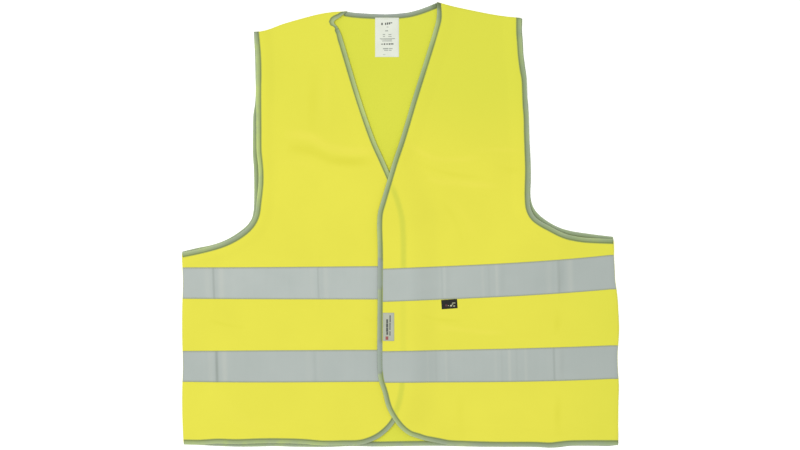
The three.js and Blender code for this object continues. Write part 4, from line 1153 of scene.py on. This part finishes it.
def make_panel(node, outline, spacing, finish):
    part = node.split("_")[-2]
    points, faces = sheet_mesh(part, outline, spacing)
    flat = points[:, :2]
    attributes = {}
    # painted highlight and painted shade of the folds, on the fronts' cloth
    if part in FOLD_SHADING:
        attributes["crease_light_shade"] = along_creases(flat, FOLD_SHADING[part])
    if part == "left":
        attributes["under"] = binding_beneath(flat)
    piece = make_object(f"{node}_cloth", points, faces, finish, attributes)
    finish_piece(piece, node)


def make_binding(node, part, name, hand, looks, seams=(None, None)):
    """A binding and its stitches; hand is 1 where the cloth is on the line's right."""
    line = LINES[name]
    edge = edge_path(node, line, hand, seams)
    points, faces, attributes = binding_mesh(node, part, edge)
    piece = make_object(f"{node}_ribbon", points, faces, looks[0], attributes)
    seam = make_object(f"{node}_stitches", *binding_stitches(part, edge), looks[1])
    finish_piece(piece, node, with_pieces=[seam])


def make_tape(node, grid, looks, stitches_off):
    """A tape with a row of stitches along each long edge, some way off its upper face."""
    points, faces = strip_mesh(grid, TAPE_WALL)
    height = np.abs(grid[-1, :, 1] - grid[0, :, 1])
    rows = np.linspace(0, 1, len(grid))[:, None] * height
    inset = np.minimum(rows, height - rows).ravel()
    inset = np.concatenate([inset, inset, np.zeros(len(points) - 2 * len(inset))])
    attributes = {
        # painted shade and painted highlight of the tape's creases
        "crease_light_shade": painted_crease_shading(points[:, :2], TAPE_CREASE_SHADING[node]),
        "edge": 1 - np.clip((inset - 0.7 * MM) / (1.2 * MM), 0, 1),
    }
    piece = make_object(f"{node}_tape", points, faces, looks[0], attributes)
    seams = []
    for near, far in ((0, 1), (-1, -2)):
        share = TAPE_STITCH_INSET / np.linalg.norm(grid[far, 0, :2] - grid[near, 0, :2])
        line = grid[near] * (1 - share) + grid[far] * share
        seams.append(stitches_on(line[1:-1] + [0, 0, stitches_off]))
    seam = make_object(f"{node}_stitches", *joined(seams), looks[1])
    finish_piece(piece, node, with_pieces=[seam])


# ---- Labels and the closure: middle, size and turn in plan, and printed bars on them ----
CARE_LABEL = {"x": -20.5, "y": 290.4, "width": 37, "height": 61.0}
BLACK_LABEL = {"x": 76.2, "y": -123.5, "width": 24.5, "height": 14.2, "turn": 4}
TAB_LABEL = {"x": -18.2, "y": -158.5, "width": 17.5, "height": 43.5}
CLOSURE = {"x": -13.5, "y": -155, "width": 20, "height": 60}
# Bars of each ink: middle x and y and half sizes, in shares of the label. A care label has short marks,
# faint lines of words and a row of small signs.
CARE_PRINT = {
    "dark_ink": [
        (-0.21, 0.34, 0.03, 0.03), (-0.06, 0.342, 0.026, 0.028), (0.02, 0.35, 0.026, 0.03),
        (0.1, 0.354, 0.03, 0.026), (0.18, 0.368, 0.036, 0.012), (-0.2, -0.172, 0.05, 0.01),
        (0, -0.17, 0.036, 0.014), (0.1, -0.17, 0.034, 0.018), (0.21, -0.168, 0.06, 0.014),
    ],
    "faint_ink": [
        (0.02, 0.262, 0.04, 0.01), (-0.02, 0.165, 0.06, 0.014), (-0.13, 0.071, 0.05, 0.012),
        (0.12, 0.071, 0.06, 0.01), (-0.13, 0.021, 0.04, 0.01), (0.12, 0.021, 0.07, 0.008),
        (0.01, -0.034, 0.32, 0.008), (-0.03, -0.06, 0.24, 0.006), (0, -0.092, 0.2, 0.009),
        (-0.06, -0.288, 0.11, 0.014), (0.15, -0.288, 0.08, 0.012), (-0.04, -0.33, 0.08, 0.009),
        (0.13, -0.33, 0.06, 0.009), (-0.12, -0.44, 0.05, 0.006),
    ],
    "black_ink": [(-0.1, -0.172, 0.022, 0.02)],
}
BLACK_PRINT = {
    "pale_ink": [
        (0.28, 0.09, 0.1, 0.04), (0.19, -0.03, 0.04, 0.04), (0.1, -0.18, 0.06, 0.08),
        (0.295, -0.24, 0.055, 0.05), (-0.07, -0.16, 0.02, 0.05),
    ],
    "dim_red_ink": [(-0.2, -0.12, 0.07, 0.11)],
}
TAB_PRINT = {
    "dark_ink": [
        (-0.12, 0.2, 0.08, 0.07), (-0.12, 0.05, 0.09, 0.07), (-0.12, -0.1, 0.09, 0.07),
        (-0.11, -0.23, 0.08, 0.05), (0.14, 0.29, 0.05, 0.12), (0.13, 0.02, 0.045, 0.13),
        (0.13, -0.23, 0.045, 0.08),
    ],
    "red_ink": [(-0.14, -0.4, 0.12, 0.06)],
}


def on_label(label, u, v):
    """Places in plan at shares u and v of a label's width and height from its middle."""
    turn = math.radians(label.get("turn", 0))
    x, y = u * label["width"] * MM, v * label["height"] * MM
    px = label["x"] * MM + x * math.cos(turn) - y * math.sin(turn)
    py = label["y"] * MM + x * math.sin(turn) + y * math.cos(turn)
    return px, py


def label_grid(label, level, u, v, rise=0.0):
    """Points over a rectangle of a label, laid at a level."""
    u, v = np.meshgrid(u, v)
    px, py = on_label(label, u, v)
    z = level(np.column_stack([px.ravel(), py.ravel()]), u.ravel(), v.ravel())
    return np.dstack([px, py, z.reshape(px.shape) + rise])


def print_mesh(label, level, marks):
    """Small printed bars on a label."""
    bars = []
    for mx, my, hx, hy in marks:
        u, v = np.linspace(mx - hx, mx + hx, 5), np.linspace(my - hy, my + hy, 3)
        bars.append(strip_mesh(label_grid(label, level, u, v, PRINT_RISE), PRINT_RISE * 1.2))
    return joined(bars)


def make_label(node, label, level, finish, prints, wall, sewing=None):
    """A small flat piece with its print, and a row of stitches along its top where it has sewing."""
    grid = label_grid(label, level, np.linspace(-0.5, 0.5, 14), np.linspace(-0.5, 0.5, 24))
    piece = make_object(f"{node}_weave", *strip_mesh(grid, wall), finish)
    extras = [
        make_object(f"{node}_print_{number}", *print_mesh(label, level, marks), ink)
        for number, (marks, ink) in enumerate(prints, 1)
    ]
    if sewing:
        u, v = -0.47 + 0.94 * np.linspace(0, 1, 20), np.full(20, 0.46)
        px, py = on_label(label, u, v)
        z = level(np.column_stack([px, py]), u, v) + 0.08 * MM
        extras.append(make_object(f"{node}_stitches", *stitches_on(np.column_stack([px, py, z])), sewing))
    finish_piece(piece, node, with_pieces=extras)


# Levels that labels lie at, with u and v as in on_label.
def on_back(flat, u, v):
    over_binding = 1 - fall(v, 0.44, 0.04)
    return back_top(flat) + 0.14 * MM + 0.70 * MM * over_binding + 0.35 * MM * np.clip(-v - 0.2, 0, 1) ** 2


def on_left(flat, u, v):
    return front_top(flat, "left") + 0.30 * MM


def on_right(flat, u, v):
    return front_top(flat, "right") + 0.95 * MM


def under_left(flat, u, v):
    return front_top(flat, "left") - SHELL - 0.06 * MM


# ---- The vest ----
# Each plain fabric: dark and light sRGB tone, pitch of its weave in metres and roughness.
WEAVES = {
    "white_satin": ((225, 230, 215), (231, 236, 221), 0.0007, 0.6),
    "black_satin": ((20, 18, 14), (28, 26, 20), 0.0007, 0.7),
    "grey_satin": ((172, 178, 160), (181, 186, 168), 0.0007, 0.5),
    "brushed_fastener": ((222, 217, 84), (232, 227, 92), 0.0016, 0.9),
    "dark_ink": ((78, 82, 78), (96, 100, 94), 0.0009, 0.7),
    "faint_ink": ((158, 164, 154), (174, 180, 170), 0.0009, 0.7),
    "pale_ink": ((182, 184, 150), (202, 204, 172), 0.0009, 0.6),
    "black_ink": ((34, 36, 34), (44, 46, 44), 0.0009, 0.7),
    "dim_red_ink": ((88, 48, 54), (98, 54, 60), 0.0009, 0.6),
    "red_ink": ((158, 82, 80), (172, 96, 92), 0.0009, 0.6),
}
# Each label: node, level, slot, place, fabric, print, millimetres thick and the panel that it lies on.
LABELS = [
    ("care_label", on_back, "white_label", CARE_LABEL, "white_satin", CARE_PRINT, 0.12, "back_panel"),
    ("black_label", on_left, "black_label", BLACK_LABEL, "black_satin", BLACK_PRINT, 0.25,
     "front_left_panel"),
    ("tab_label", on_left, "grey_tab", TAB_LABEL, "grey_satin", TAB_PRINT, 0.25, "front_left_panel"),
    ("loop_strip", on_right, "fastener", CLOSURE, "brushed_fastener", {}, 0.9, "front_right_panel"),
    ("hook_strip", under_left, "fastener", CLOSURE, "brushed_fastener", {}, 0.9, "front_left_panel"),
]


def main():
    set_camera()
    set_stage()

    yellow = yellow_cloth("hi_vis_polyester", (230, 225, 73), (234, 229, 75), (238, 234, 96))
    inside_yellow = yellow_cloth("hi_vis_polyester_inside", (219, 222, 68), (223, 226, 70), (228, 231, 90))
    tape_looks = reflective_tape(), thread("tape_thread", (160, 168, 138), (178, 185, 150))
    ribbon_looks = edge_ribbon(), thread("ribbon_thread", (124, 138, 84), (142, 156, 98))
    white_thread = thread("white_thread", (226, 230, 220), (236, 240, 230))
    weaves = {name: plain_weave(name, *row) for name, row in WEAVES.items()}

    make_panel("back_panel", back_outline(), BACK_MESH, inside_yellow)
    for name in ("upper", "lower"):
        make_tape(f"back_tape_{name}", back_tape_grid(name), tape_looks, TAPE_STITCH_UNDER)
    for node, name, hand in (
        ("back_neck_binding", "back_neck", 1),
        ("back_hem_binding", "back_hem", -1),
        ("back_armhole_binding_right", "back_armhole_right", 1),
        ("back_armhole_binding_left", "back_armhole_left", -1),
    ):
        make_binding(node, "back", name, hand, ribbon_looks)

    for hand, under in (("right", ["back_panel"]), ("left", ["back_panel", "front_right_panel"])):
        panel = f"front_{hand}_panel"
        make_panel(panel, front_outline(hand), FRONT_MESH, yellow)
        for name in ("upper", "lower"):
            grid = front_tape_grid(hand, name)
            make_tape(f"front_{hand}_tape_{name}", grid, tape_looks, TAPE_STITCH_OVER)
        along = LINES[f"shoulder_{hand}"]
        to_neck = (along[1] - along[0]) / np.linalg.norm(along[1] - along[0])
        to_tip = (along[-2] - along[-1]) / np.linalg.norm(along[-2] - along[-1])
        for node, name, seams in (
            (f"front_{hand}_binding", f"front_edge_{hand}", (to_tip, None)),
            (f"front_armhole_binding_{hand}", f"front_armhole_{hand}", (None, to_neck)),
        ):
            make_binding(node, hand, name, HANDS[hand], ribbon_looks, seams)

    for node, level, slot, label, finish, prints, wall, panel in LABELS:
        inks = [(marks, weaves[ink]) for ink, marks in prints.items()]
        sewing = white_thread if node == "care_label" else None
        make_label(node, label, level, weaves[finish], inks, wall * MM, sewing)


main()
